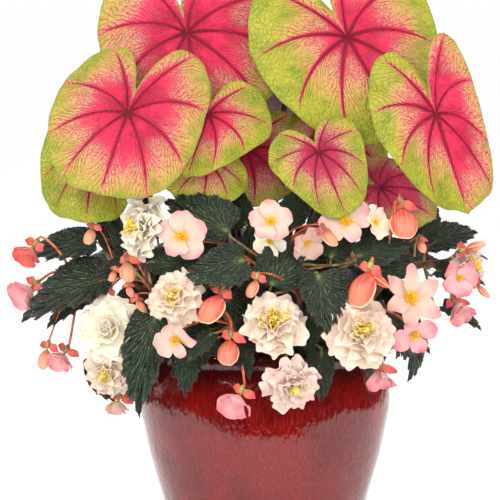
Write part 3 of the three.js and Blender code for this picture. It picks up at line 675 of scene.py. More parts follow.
GROWN_GREEN = colours("728010", "98981e", "c0b44e"), colours("c2a05c", "cc8c80"), colour("7c8c2a")
CALADIUM_TOPS = {
    "grown": caladium_finish("caladium_grown", *GROWN_GREEN, colours("ac0e38", "d4204a", "d8586e"),
                             colour("8c0828")),
    # Painted light: a brighter copy of the grown palette, for leaves that lie in shade behind others.
    "brighter_for_shade": caladium_finish("caladium_brighter_for_shade", colours("8ca018", "b6b830", "d6cc64"),
                             colours("dcbc70", "e8b09a"), colour("94a834"),
                             colours("b80e3c", "de244c", "ee7c8a"), colour("a00a30")),
    "wine": caladium_finish("caladium_wine", *GROWN_GREEN, colours("9a1036", "b8284a", "c65a70"),
                            colour("820a2e")),
}
caladium_under = caladium_finish("caladium_under", colours("7c8840", "98a054", "aaae68"),
                                 colours("b0a070", "b89080"), colour("88984c"),
                                 colours("7c2c4c", "985070", "ac6c84"), colour("6a1c3c"))
petiole_skin, shader, place = new_material("caladium_petiole")
streak = noise(stretched(place, (1, 1, 0.1)), 320)
finish_with(shader, Base_Color=blend(fade(streak, 0.35, 0.7), *colours("2a0f14", "6b2a30")),
            Roughness=0.42, Normal=bumped(streak, 0.0003))
print("caladium finishes:", sorted(CALADIUM_TOPS))

# %% [markdown]
# ## Caladium leaves
# Each leaf stands on its own long petiole, which rises out of the soil, arches out and meets
# the blade from below. A blade is a heart with two round lobes. Its grid is wrapped round the
# hub where the petiole joins: columns become spokes, rows become rings, and every main vein
# falls on a spoke, so that the leaf can sink along it.

# %% Where the caladium leaves are
STEM_FOOT, SOIL_SURFACE = 0.206, 0.239
# Each leaf has its foot in the soil, hub and tip, and the way its upper side faces. Then come its
# left and right width, lobe, reach of the crimson and taper. The point is how far its tip is
# drawn out. The finish is that of a grown leaf unless it is wine red, or is the brighter copy that
# paints light on a leaf lying in shade.
CALADIUM = {
    "a": dict(foot=(-0.012, -0.002), hub=(-0.081, -0.010, 0.582), tip=(-0.056, -0.050, 0.483),
              face=(0, -0.9, 0.4), wide=(0.84, 1.04), lobe=(1.0, 1.0), crimson=(0.66, 0.66)),
    "b": dict(foot=(-0.033, -0.019), hub=(-0.140, -0.085, 0.502), tip=(-0.170, -0.135, 0.421),
              face=(-0.1, -0.9, 0.5), wide=(0.80, 0.78), lobe=(0.94, 1.14), crimson=(0.60, 0.70)),
    "c": dict(foot=(-0.038, -0.006), hub=(-0.174, -0.044, 0.463), tip=(-0.187, -0.084, 0.389),
              face=(-0.2, -0.9, 0.5), wide=(0.70, 0.56), lobe=(0.7, 0.7), crimson=(0.36, 0.40),
              point=0.03),
    "d": dict(foot=(-0.017, -0.020), hub=(-0.059, -0.070, 0.500), tip=(-0.079, -0.108, 0.441),
              face=(0.1, -0.9, 0.5), wide=(0.72, 0.92), lobe=(0.86, 0.86), crimson=(0.44, 0.46),
              point=0.08, taper=(0.20, 0.55)),
    "e": dict(foot=(-0.026, -0.034), hub=(-0.062, -0.052, 0.452), tip=(-0.094, -0.086, 0.420),
              face=(0.1, -0.85, 0.5), wide=(0.80, 0.90), lobe=(0.6, 0.6), crimson=(0.46, 0.46),
              finish="brighter_for_shade"),
    "f": dict(foot=(-0.004, -0.028), hub=(-0.021, 0.0, 0.461), tip=(-0.043, -0.026, 0.405),
              face=(0.2, -0.9, 0.3), wide=(0.56, 1.10), lobe=(1.1, 1.1), crimson=(0.56, 0.60),
              point=0.08, taper=(0.1, 0.2), finish="brighter_for_shade"),
    "g": dict(foot=(0.012, -0.036), hub=(0.054, -0.096, 0.463), tip=(0.083, -0.132, 0.401),
              face=(0, -0.9, 0.5), wide=(0.66, 0.62), lobe=(0.56, 0.56), crimson=(0.48, 0.52),
              point=0.03, taper=(0.42, 0.30), finish="wine"),
    "h": dict(foot=(0.009, -0.006), hub=(0.085, -0.035, 0.578), tip=(0.143, -0.075, 0.479),
              face=(0, -0.9, 0.45), wide=(0.80, 0.78), lobe=(0.95, 0.95), crimson=(0.34, 0.54),
              point=0.03, taper=(0.14, 0.14)),
    "i": dict(foot=(0.031, -0.013), hub=(0.173, -0.094, 0.501), tip=(0.202, -0.130, 0.404),
              face=(-0.2, -0.9, 0.3), wide=(0.60, 0.42), lobe=(0.94, 0.95), crimson=(0.40, 0.80),
              point=0.08, taper=(0.46, 0.16)),
    "j": dict(foot=(0.036, -0.030), hub=(0.118, -0.072, 0.425), tip=(0.176, -0.088, 0.400),
              face=(0, -0.75, 0.65), wide=(0.60, 0.66), lobe=(0.6, 0.6), crimson=(0.66, 0.76),
              point=0.08, taper=(0.2, 0.2), finish="wine"),
    "l": dict(foot=(0.021, -0.018), hub=(0.078, 0.008, 0.472), tip=(0.108, -0.028, 0.422),
              face=(0, -0.9, 0.4), wide=(0.68, 0.70), lobe=(1.0, 1.0), crimson=(0.70, 0.62),
              point=0.08, taper=(0.2, 0.2), finish="brighter_for_shade"),
    "k": dict(foot=(0.005, 0.014), hub=(0.020, 0.050, 0.532), tip=(0.024, 0.126, 0.484),
              face=(0, 0.6, 0.8), wide=(0.75, 0.75), lobe=(0.7, 0.7), crimson=(0.66, 0.66)),
    "m": dict(foot=(-0.021, 0.015), hub=(-0.104, 0.074, 0.522), tip=(-0.160, 0.128, 0.446),
              face=(-0.5, 0.6, 0.6), wide=(0.76, 0.78), lobe=(0.9, 0.9), crimson=(0.58, 0.62)),
    "n": dict(foot=(0.024, 0.016), hub=(0.112, 0.078, 0.540), tip=(0.160, 0.136, 0.452),
              face=(0.5, 0.6, 0.6), wide=(0.78, 0.76), lobe=(0.9, 0.9), crimson=(0.56, 0.60)),
}
print("caladium leaves:", len(CALADIUM))

# %% [markdown]
# ### The heart
# The outline is a short list of how far the edge is from the hub, at some angles from the
# midrib. Its corners are rounded by an average over eleven degrees. The spokes are laid out
# evenly from one main vein to the next, and not by angle, because that puts a spoke on every
# vein.

# %% The heart outline and the veins
HEART = [(0, 0.90), (14, 0.93), (32, 0.965), (58, 1), (85, 1), (110, 1), (132, 0.97), (150, 0.93),
         (162, 0.84), (171, 0.58), (180, 0.22)]
HEART_VEINS = [0, 33, 66, 103, 150, 180]     # degrees from the midrib; the last is the slit
SPOKES_BETWEEN = 14
HEART_RINGS = 22
VEIN_BEND = math.radians(25)                 # veins leave the hub wide and turn to the tip


def heart_reach(degrees):
    """How far the edge of the heart is from the hub, as a share, with its corners rounded."""
    every = np.arange(-12, 193)
    reach = np.interp(np.abs(every), *zip(*HEART))
    reach[every > 180] = np.interp(360 - every[every > 180], *zip(*HEART))
    weights = np.hanning(11)
    even = np.convolve(reach, weights / weights.sum(), mode="same")
    return np.interp(degrees, every, even)


def spokes_of(veins, between):
    """For each column of the grid: its angle on one side, and how far it is from a vein."""
    side = len(veins) - 1
    steps = np.arange(side * between + 1) / between
    degrees = np.interp(steps, np.arange(side + 1), veins)
    part = steps % 1
    away = 1 - np.abs(2 * part - 1)
    away[steps >= side - 1] = steps[steps >= side - 1] - (side - 1)
    return degrees, away


heart_degrees, heart_away = spokes_of(HEART_VEINS, SPOKES_BETWEEN)
heart_grid, column, heart_out = spoke_grid("heart_grid", len(heart_degrees) - 1, HEART_RINGS)
heart_turn = np.sign(column) * np.radians(heart_degrees[np.abs(column)])
heart_side = np.where(np.abs(np.abs(heart_turn) - math.pi) < 1e-6, 0, np.sign(column))
heart_gap = heart_away[np.abs(column)]
set_uv(heart_grid, "veins", heart_out, heart_gap)
print("heart grid:", column.max(), "spokes on a side,", HEART_RINGS, "rings")

# %% [markdown]
# ### One leaf
# A blade isn't flat. It droops at its tip, lobes and sides, puffs up between the main veins,
# sinks along them and waves at its rim. Each of these is one term of a height above the flat
# heart, so each can be set alone. The petiole is a rod from the soil to the hub.

# %% One caladium leaf
# The curves of a blade, as shares of its length.
TIP_DROOP, LOBE_DROOP, SIDE_DROOP = 0.16, 0.10, 0.16
WAVE, FRILL = 0.03, 0.010
PUFF, FURROW, FURROW_WIDTH = 0.042, 0.014, 0.12
CRIMSON_SLOPE = 1.25                         # how fast the crimson gives way outwards
BLADE_THICKNESS = 0.0007
PETIOLE_RADII = 0.0034, 0.0023


def blade_frame(hub, tip, face):
    """The directions along, across and up out of a blade, and its length."""
    along = Vector(tip) - Vector(hub)
    length = along.length
    along.normalize()
    up = Vector(face)
    up = (up - up.dot(along) * along).normalized()
    return along, up.cross(along), up, length


def laid_out(hub, length, shares, axes):
    """Points from their shares of a blade's length along its three directions."""
    return np.array(hub) + length * sum(np.outer(share, axis) for share, axis in zip(shares, axes))


def heart_surface(leaf, phase):
    """The corners of one blade on its curved surface, and the way that its upper side faces."""
    turn, out, gap = heart_turn, heart_out, heart_gap
    degrees = np.degrees(np.abs(turn))
    reach = heart_reach(degrees) + leaf.get("point", 0.02) * np.exp(-degrees / 9)
    wide = np.where(turn > 0, leaf["wide"][1], leaf["wide"][0])
    lobe = np.where(turn > 0, leaf["lobe"][1], leaf["lobe"][0])
    lobe = np.where(heart_side == 0, sum(leaf["lobe"]) / 2, lobe)
    lobe = np.where(np.abs(turn) > math.pi / 2, lobe, 1)
    inside = turn + VEIN_BEND * (1 - out) * np.sin(turn)
    ripple = 1 + 0.004 * np.sin(13 * turn + phase) + 0.003 * np.sin(23 * turn + 2 * phase)
    share = out * reach * np.where(out > 0.85, ripple, 1)
    along = share * np.cos(inside) * lobe
    across = share * wide ** np.abs(np.sin(turn)) * np.sin(inside)
    taper = leaf.get("taper", (0, 0))
    across *= 1 - np.where(turn > 0, taper[1], taper[0]) * np.clip(along, 0, 1)
    sag = np.where(along > 0, TIP_DROOP, LOBE_DROOP) * along ** 2
    rise = -SIDE_DROOP * across ** 2 - sag + WAVE * out ** 2 * np.sin(4 * turn + phase)
    rise += FRILL * out ** 4 * np.sin(11 * turn + 2 * phase)
    rise += PUFF * np.sqrt(gap) * out * (1 - 0.7 * out)
    rise -= FURROW * np.exp(-(gap / FURROW_WIDTH) ** 2) * out * (1 - out)
    *axes, length = blade_frame(leaf["hub"], leaf["tip"], leaf["face"])
    return laid_out(leaf["hub"], length, (along, across, rise), axes), axes[2]


def caladium_leaf(letter, leaf, phase):
    blade = copy_of(heart_grid, f"caladium_{letter}")
    points, up = heart_surface(leaf, phase)
    set_coords(blade, points)
    extent = np.where(heart_turn > 0, leaf["crimson"][1], leaf["crimson"][0])
    set_attribute(blade, "crimson", 0.5 + CRIMSON_SLOPE * (extent - heart_out))
    paint(blade, CALADIUM_TOPS[leaf.get("finish", "grown")], caladium_under)
    face_up(blade, up)
    thicken(blade, BLADE_THICKNESS, under_slot=1)
    smooth(blade, 60)
    x, y = leaf["foot"]
    hub = Vector(leaf["hub"])
    ground = Vector((x, y, SOIL_SURFACE))
    under = hub - 0.026 * up - 0.005 * UP
    half = ground.lerp(under, 0.34)
    half.z = ground.z + 0.55 * (under.z - ground.z)
    route = [(x, y, STEM_FOOT), ground, half, under, hub - 0.0003 * up]
    petiole = rod("petiole", route, *PETIOLE_RADII, petiole_skin, sides=10, steps=26)
    dress(joined([blade, petiole], f"caladium_{letter}"), f"caladium_leaf_{letter}")


for number, (letter, leaf) in enumerate(CALADIUM.items()):
    caladium_leaf(letter, leaf, number)
bpy.data.objects.remove(heart_grid)
print("caladium done:", len(CALADIUM), "leaves")

# %% [markdown]
# ## Begonia leaf finish
# The upper side is a dark green with a satin gleam, puckered between pale veins, with a
# thin red-brown edge on the teeth. The underside is olive brown. The side veins are too fine
# for the mesh, so the finish draws them, from the same kind of UV map as the caladium's, and
# its bump gives the puckers. The tops of the pleats are painted lighter, a painted highlight
# where light falls on them. Stems and stalks are mottled and a little hairy.


# %% Begonia leaf finish
def begonia_finish(name, dark, light, vein, edge, gloss):
    material, shader, place = new_material(name)
    out, away = split(uv_map(place, "veins"))[:2]
    patch = noise(place, 60)
    fine = noise(place, 700)
    # Between two main veins the blade is pleated. The pleats leave the veins and run to the teeth.
    comb = off_line(4 * out - 2.2 * away + 1.2 * patch)
    pleat = fade(comb, 0, 0.42)
    gap = out * away
    main = fade(gap / fade(out, 0, 1, 0.12, 0.035), 1, 0.3)
    flesh = blend(fade(patch, 0.35, 0.68, 0, 0.6), dark, light)
    # Painted highlight: the tops of the pleats are lighter, as where light falls on them.
    flesh = blend(0.18 * pleat, flesh, light)
    flesh = blend(fade(fine, 0.45, 0.7, 0, 0.25), flesh, light)
    flesh = blend(fade(comb, 0.13, 0) * fade(out, 0.1, 0.8, 0.36, 0.08), flesh, vein)
    flesh = blend(main * fade(out, 0.95, 0.1, 0.3, 0.95), flesh, vein)
    flesh = blend(fade(out, 0.95, 1, 0, 0.85), flesh, edge)
    pucker = pleat + 0.6 * fade(cell_edge(place, 330), 0, 0.16) + 0.2 * fine
    finish_with(shader, Base_Color=flesh, Roughness=gloss, Specular_IOR_Level=0.85,
                Subsurface_Weight=0.05, Subsurface_Scale=0.002, Normal=bumped(pucker, 0.0024))
    return material


begonia_top = begonia_finish("begonia_upper", *colours("0f1a13", "364e36", "a2b672", "63402e"), 0.36)
begonia_under = begonia_finish("begonia_under", *colours("54502e", "787044", "948258", "744434"), 0.5)


def stem_finish(name, one, other):
    material, shader, place = new_material(name)
    mottle = noise(place, 150)
    hairs = noise(stretched(place, (1, 1, 0.2)), 900, 2)
    finish_with(shader, Base_Color=blend(fade(mottle, 0.38, 0.64), one, other), Roughness=0.45,
                Subsurface_Weight=0.08, Subsurface_Scale=0.002, Normal=bumped(hairs, 0.0002))
    return material


stem_skin = stem_finish("begonia_stem", *colours("4a2a1e", "7d4a35"))
stalk_skin = stem_finish("flower_stalk", *colours("b8502f", "d97a4e"))
leafstalk_skin = stem_finish("leaf_stalk", *colours("84533a", "a9a05e"))
print("begonia finishes ready")

# %% [markdown]
# ## A begonia leaf
# The blade is a lopsided heart drawn out to a point, with big teeth where the veins end and
# small teeth between them. It is wrapped round its hub as the caladium's is.

# %% The begonia outline and its grid
TOOTH_SPOKES = 7                            # spokes from one main vein to the next
BEGONIA_RINGS = 8
VEIN_STOPS = [1.0, 0.84, 0.66, 0.48, 0.31, 0.16, 0.0]    # where the main veins meet the edge
BIG_TOOTH, SMALL_TOOTH = 0.11, 0.05         # shares of the way from the hub to the edge


def begonia_columns():
    """For each spoke on one side: its stop along the edge, its distance from a vein and its tooth."""
    side = len(VEIN_STOPS) - 1
    steps = np.arange(side * TOOTH_SPOKES + 1) / TOOTH_SPOKES
    stop = np.interp(steps, np.arange(side + 1), VEIN_STOPS)
    part = steps % 1
    away = 1 - np.abs(2 * part - 1)
    big = (1 - away) ** 1.5
    small = np.where(np.arange(len(steps)) % 2 == 0, 1.0, 0.0)
    tooth = BIG_TOOTH * big + SMALL_TOOTH * small - SMALL_TOOTH
    tooth[-1] = 0
    return stop, away, tooth


leaf_stop, leaf_away, leaf_tooth = begonia_columns()
begonia_grid, column, leaf_out = spoke_grid("begonia_grid", len(leaf_stop) - 1, BEGONIA_RINGS)
leaf_side = np.sign(column)
leaf_stop, leaf_gap, leaf_tooth = (v[np.abs(column)] for v in (leaf_stop, leaf_away, leaf_tooth))
set_uv(begonia_grid, "veins", leaf_out, leaf_gap)
paint(begonia_grid, begonia_top, begonia_under)
print("begonia grid:", column.max(), "spokes on a side,", BEGONIA_RINGS, "rings")

# %% [markdown]
# ### Its surface
# The halves fold up from the midrib and arch over at the sides. A leaf is turned so that its
# upper side faces out and up, because leaves turn to the light. There are 160 of them, so the
# mesh is as coarse as the teeth allow.

# %% One begonia leaf
# The curves of a blade, as shares of its length.
LEAF_FOLD, LEAF_SIDE_DROOP, LEAF_TIP_DROOP, LEAF_PUFF, LEAF_WAVE = 0.26, 0.34, 0.16, 0.09, 0.018
WIDE_HALF, NARROW_HALF = 1.14, 0.86         # widths of the two halves, as shares of their mean
LEAF_THICKNESS = 0.0006
LEAFSTALK_RADII = 0.0017, 0.0012
FRONT_FROM = -0.015                         # leaves before this turn to the front, to the light


def begonia_leaf(hub, tip, wide, lean, phase, stalk_from):
    """A blade, with one half wider than the other, and its own stalk."""
    hub = Vector(hub)
    outward = Vector((hub.x, hub.y, 0)).normalized()
    if hub.y < FRONT_FROM:
        outward = (outward + Vector((0, -1, 0))).normalized()
    along, across, up, length = blade_frame(hub, tip, outward * 0.8 + UP * 0.6)
    stop, out, gap = leaf_stop, leaf_out, leaf_gap
    half = 0.5 * wide * np.where(leaf_side * lean < 0, WIDE_HALF, NARROW_HALF)
    edge_along = 1.14 * stop - 0.14 * np.clip(stop / 0.07, 0, 1)
    edge_across = half * 1.32 * np.sqrt(stop) * (1 - stop) ** 0.92
    grow = 1 + leaf_tooth * np.where(stop < 0.98, 1, 0.3)
    x = edge_along * grow * out
    y = edge_across * grow * out * leaf_side
    rise = LEAF_FOLD * np.abs(y) - LEAF_SIDE_DROOP * y ** 2 - LEAF_TIP_DROOP * x ** 2
    rise += LEAF_PUFF * np.sqrt(gap) * out * (1 - 0.6 * out)
    rise += LEAF_WAVE * out ** 2 * np.sin(7 * stop * leaf_side + phase)
    blade = copy_of(begonia_grid, "blade")
    set_coords(blade, laid_out(hub, length, (x, y, rise), (along, across, up)))
    face_up(blade, up)
    thicken(blade, LEAF_THICKNESS, under_slot=1)
    smooth(blade, 50)
    route = [stalk_from, hub - 0.006 * along - 0.008 * up, hub - 0.0004 * up]
    return [blade, rod("leaf_stalk", route, *LEAFSTALK_RADII, leafstalk_skin, sides=6, steps=8)]


# %% [markdown]
# ## Petal finishes
# Petals are thin and let a little light through, so some of their colour is subsurface light.
# Each is palest or yellowest at its base and takes its colour towards the edge, with faint
# veins along it, which is noise drawn out along the petal's UV map. The yellow at the base is
# partly the petal's own and partly a painted glow of the light deep in a bloom. One function
# makes all the kinds, from three colours each.


# %% Petal finishes
def petal_finish(name, colours_outwards, base_end, edge_start):
    """The three colours go from the base of a petal to its edge."""
    base, middle, edge = colours_outwards
    material, shader, place = new_material(name)
    mapped = uv_map(place, "petal")
    lines = noise(stretched(mapped, (26, 1.5, 1)), 1, 2)
    reach = split(mapped)[1] + 0.45 * (noise(place, 70, 2) - 0.5)
    # The yellow base is partly the petal's own colour and partly a painted glow of light deep in the
    # bloom.
    tone = blend(fade(reach, 0, base_end), base, middle)
    tone = blend(fade(reach, edge_start, 1.08), tone, edge)
    tone = blend(fade(lines, 0.48, 0.72, 0, 0.30), tone, edge)
    finish_with(shader, Base_Color=tone, Roughness=0.5, Specular_IOR_Level=0.3, Subsurface_Weight=0.25,
                Subsurface_Scale=0.0015, Subsurface_Radius=(1, 0.8, 0.6), Sheen_Weight=0.1,
                Normal=bumped(lines, 0.0008))
    return material


PETALS = {
    "white": petal_finish("petal_white", colours("dcd25c", "f0e4cc", "ece2d4"), 0.34, 0.72),
    "cream": petal_finish("petal_cream", colours("f6c43c", "ead4be", "ecd0c4"), 0.55, 0.72),
    "blush": petal_finish("petal_blush", colours("ecab30", "d8b8a8", "d29090"), 0.40, 0.56),
    "peach": petal_finish("petal_peach", colours("eeb448", "ead6ca", "e6bcb0"), 0.5, 0.6),
    "pink": petal_finish("petal_pink", colours("e09050", "e2acaa", "d8687a"), 0.30, 0.5),
    "coral": petal_finish("petal_coral", colours("c8a058", "e0745c", "d8485a"), 0.26, 0.5),
}
ruffle_heart = petal_finish("petal_heart", colours("ffc010", "fbd848", "f8e8a0"), 0.5, 0.8)
stamen_grain, shader, place = new_material("stamen_yellow")
dust = noise(place, 900, 2)
finish_with(shader, Base_Color=blend(fade(dust, 0.35, 0.65), *colours("e8a00c", "fbdc3c")), Roughness=0.6,
            Normal=bumped(dust, 0.0004))
print("petal finishes:", sorted(PETALS))

# %% [markdown]
# ## Petals
# A petal is a round disc drawn out to a narrow base. So its master is a grid whose square is
# pressed into a disc, finer for broad petals and coarser for small ones. A formula then narrows
# its base, cups it and ruffles its rim, and numbers say how much of each a petal gets.

# %% One petal
def petal_master(name, columns, rows):
    """A grid whose square is pressed into a disc, with the disc's places in its UV map."""
    grid = sheet_grid(name, columns, rows)
    side, end = (2 * share - 1 for share in grid_shares(grid))
    disc = side * np.sqrt(1 - end ** 2 / 2), end * np.sqrt(1 - side ** 2 / 2)
    set_uv(grid, "petal", 0.5 + 0.5 * disc[0], 0.5 + 0.5 * disc[1])
    return grid, disc


BROAD_PETAL = petal_master("broad_petal", 12, 9)
SMALL_PETAL = petal_master("small_petal", 6, 6)


def petal(length, width, cup, curl, ruffle, phase, notch=0.0, waves=3, point=0.0, master=BROAD_PETAL):
    """A petal along +X, facing up. Its cup, curl, ruffle, notch and point are shares of its length."""
    grid, (u, v) = master
    rim = np.hypot(u, v)
    around = np.arctan2(u, v)
    tip = np.exp(-(around / 0.3) ** 2) * rim ** 4
    frill = 1 + (point - notch) * tip + 0.35 * ruffle * rim ** 5 * np.sin((2 * waves + 1) * around + phase)
    out = 0.5 + 0.5 * v * frill
    x = length * out
    y = 0.5 * width * u * frill * (0.32 + 0.68 * np.sin(0.5 * math.pi * np.clip(out / 0.62, 0, 1)))
    z = length * (cup * u ** 2 * 0.5 * np.clip(out, 0, 1) ** 0.5 + curl * out ** 2)
    z += length * ruffle * rim ** 3 * np.clip(out, 0, 1) * np.sin(waves * around + phase)
    piece = copy_of(grid, "petal")
    set_coords(piece, np.stack([x, y, z], 1))
    return piece


def aim(at, face, turn=0.0):
    """The place of a bloom that was modelled facing +Z."""
    rotation = Vector(face).normalized().to_track_quat("Z", "Y").to_matrix().to_4x4()
    return Matrix.Translation(at) @ rotation @ turned(turn, "Z")


def set_in_ring(piece, turn, base, lift, roll=0.0):
    """Stands a petal in its ring, lifted by some degrees and rolled about its length."""
    settle(piece, turned(turn, "Z") @ Matrix.Translation(base) @ turned(-math.radians(lift), "Y")
           @ turned(roll, "X"))


def close_sheets(whole, thickness):
    """Gives joined petals their thickness and their smooth shading."""
    thicken(whole, thickness)
    smooth(whole, 60)
    return whole


print("petal masters, faces:", [len(grid.data.polygons) for grid, disc in (BROAD_PETAL, SMALL_PETAL)])

# %% [markdown]
# ## Double blooms
# A double begonia bloom has rings of petals. The outer ones lie nearly flat and the inner ones
# stand up and close in. Some blooms have a neat round heart like a rose's, and others have a
# loose heart of narrow ruffled petals.


# %% Double blooms
# In each ring: its petals, their length and width as shares of the radius, their lift in degrees,
# and their cup and curl.
NEAT_RINGS = [
    (8, 1.02, 0.86, 5, 0.14, 0.0), (8, 0.86, 0.76, 15, 0.26, 0.04), (7, 0.62, 0.66, 36, 0.60, 0.12),
    (6, 0.48, 0.56, 56, 0.90, 0.20), (5, 0.36, 0.44, 72, 1.10, 0.24), (4, 0.26, 0.34, 86, 1.20, 0.26),
    (3, 0.20, 0.30, 102, 1.20, 0.30),
]
LOOSE_RINGS = [
    (8, 1.02, 0.82, 4, 0.12, -0.02), (9, 0.90, 0.66, 18, 0.20, 0.0), (9, 0.74, 0.52, 34, 0.30, 0.02),
    (8, 0.60, 0.42, 50, 0.40, 0.04),
]
FRILLS = 26
DOUBLE_THICKNESS = 0.0004


def table(keys, rows):
    """A record for each row, under its letter."""
    return {letter: dict(zip(keys.split(), row)) for letter, *row in rows}


def outer_petal(radius, long, broad, cup, curl, wild, master, draw):
    """A petal of a ring. The wilder it is, the more chance has to say."""
    long = radius * long * draw.uniform(0.93, 1.06)
    broad = radius * broad * draw.uniform(0.88, 1.08)
    return petal(long, broad, cup, curl + wild * draw.uniform(-0.12, 0.08),
                 ruffle=wild * draw.uniform(0.12, 0.25), notch=wild * draw.uniform(0, 0.24),
                 phase=draw.uniform(0, 6.3), waves=draw.choice((3, 4)), master=master)


def frilled_heart(radius, draw):
    frills = []
    for i in range(FRILLS):
        frill = petal(radius * draw.uniform(0.38, 0.66), radius * draw.uniform(0.12, 0.26), cup=0.5,
                      curl=0.10, ruffle=0.16, phase=draw.uniform(0, 6.3), master=SMALL_PETAL)
        lift = draw.uniform(40, 96)
        turn = 2 * math.pi * (i + draw.uniform(0, 0.7)) / FRILLS
        set_in_ring(frill, turn, (0.06 * radius, 0, 0.08 * radius), lift)
        frills.append(frill)
    return joined(frills, "frills", ruffle_heart)


def double_bloom(name, spec, seed):
    draw = np.random.default_rng(seed)
    radius, neat = spec["radius"], spec["neat"]
    petals = []
    for ring, (count, long, broad, lift, cup, curl) in enumerate(NEAT_RINGS if neat else LOOSE_RINGS):
        wild = 1.0 if not neat else 0.75 if ring < 2 else 0.3
        master = BROAD_PETAL if ring < 2 else SMALL_PETAL
        for i in range(count):
            one = outer_petal(radius, long, broad, cup, curl, wild, master, draw)
            turn = 2 * math.pi * (i + 0.5 * (ring % 2)) / count + wild * draw.uniform(-0.2, 0.2)
            turn += 0.4 * ring
            base = (0.04 * radius * (5 - ring) / 5, 0, 0.035 * radius * ring)
            tilt = lift + wild * draw.uniform(-9, 9)
            set_in_ring(one, turn, base, tilt, roll=wild * draw.uniform(-0.25, 0.25))
            petals.append(one)
    main = joined(petals, name, PETALS[spec["finish"]])
    parts = [main] if neat else [main, frilled_heart(radius, draw)]
    whole = close_sheets(joined(parts, name), DOUBLE_THICKNESS)
    settle(whole, aim(spec["at"], spec["face"], draw.uniform(0, 6.3)))
    dress(whole, name.replace("double", "rose"))


DOUBLES = table("at face radius colour finish neat", [
    ("a", (-0.157, -0.088, 0.281), (-0.35, -0.9, 0.2), 0.036, "white", "white", True),
    ("b", (-0.16, -0.082, 0.237), (-0.35, -0.9, -0.2), 0.027, "cream", "cream", False),
    ("c", (-0.122, -0.09, 0.384), (-0.8, -0.58, 0.2), 0.034, "cream", "white", False),
    ("d", (-0.09, -0.134, 0.318), (-0.3, -0.9, 0.25), 0.03, "cream", "cream", False),
    ("e", (0.008, -0.152, 0.292), (0, -0.85, 0.5), 0.034, "cream", "cream", False),
    ("f", (0.094, -0.144, 0.284), (0.25, -0.9, 0.25), 0.037, "cream", "cream", False),
    ("g", (0.024, -0.162, 0.236), (0.35, -0.85, -0.3), 0.03, "blush", "peach", False),
    ("h", (0.208, -0.05, 0.342), (0.8, -0.55, 0.2), 0.024, "blush", "peach", False),
    ("i", (-0.1, 0.158, 0.3), (-0.4, 0.9, 0.2), 0.034, "white", "white", True),
    ("j", (0.098, 0.156, 0.306), (0.35, 0.9, 0.3), 0.035, "cream", "cream", False),
])
for number, (letter, spec) in enumerate(DOUBLES.items()):
    double_bloom(f"double_{letter}", spec, 100 + number)
print("double blooms:", len(DOUBLES))

# %% [markdown]
# ## Single blooms
# A single bloom has four to six petals. The ones that face out are open and show a knot of
# yellow stamens. The others hang and are half closed, with a winged seed case behind them.


# %% Single blooms
OPEN_LIFT, HALF_CLOSED_LIFT = 15, 44        # degrees
PETAL_WIDTHS = {4: 1.20, 5: 0.98, 6: 0.62}  # shares of the radius, by the count of petals
SLIM_WIDTH = 0.70                           # every second petal of four
SINGLE_THICKNESS = 0.0005
PETAL_STEP = 0.0012                         # how far every second petal lies above its neighbours
SINGLE_TURN = 0.4


def open_petals(name, count, radius, opened, finish, draw):
    """The petals of a single bloom that faces +Z, wide open or half closed."""
    lift = OPEN_LIFT if opened else HALF_CLOSED_LIFT
    petals = []
    for i in range(count):
        slim = count == 4 and i % 2 == 1
        width = radius * (SLIM_WIDTH if slim else PETAL_WIDTHS[count]) * draw.uniform(0.94, 1.06)
        one = petal(radius * (0.90 if slim else 1.02), width, cup=0.20 if opened else 0.55,
                    curl=draw.uniform(-0.10, 0.12), ruffle=draw.uniform(0.06, 0.12),
                    notch=0 if count == 6 else draw.uniform(0.0, 0.12), phase=draw.uniform(0, 6.3),
                    waves=draw.choice((3, 4)), point=0.20 if count == 6 else 0)
        turn = 2 * math.pi * i / count + draw.uniform(-0.12, 0.12)
        base = (0, 0, PETAL_STEP * (i % 2))
        set_in_ring(one, turn, base, lift + draw.uniform(-7, 7), draw.uniform(0.05, 0.22))
        petals.append(one)
    return close_sheets(joined(petals, name, finish), SINGLE_THICKNESS)


def single_bloom(name, spec, seed):
    draw = np.random.default_rng(seed)
    finish = PETALS[spec["colour"]]
    whole = open_petals(name, spec["petals"], spec["radius"], spec["stamens"], finish, draw)
    settle(whole, aim(spec["at"], spec["face"], SINGLE_TURN))
    dress(whole, name.replace("single", "bloom"))


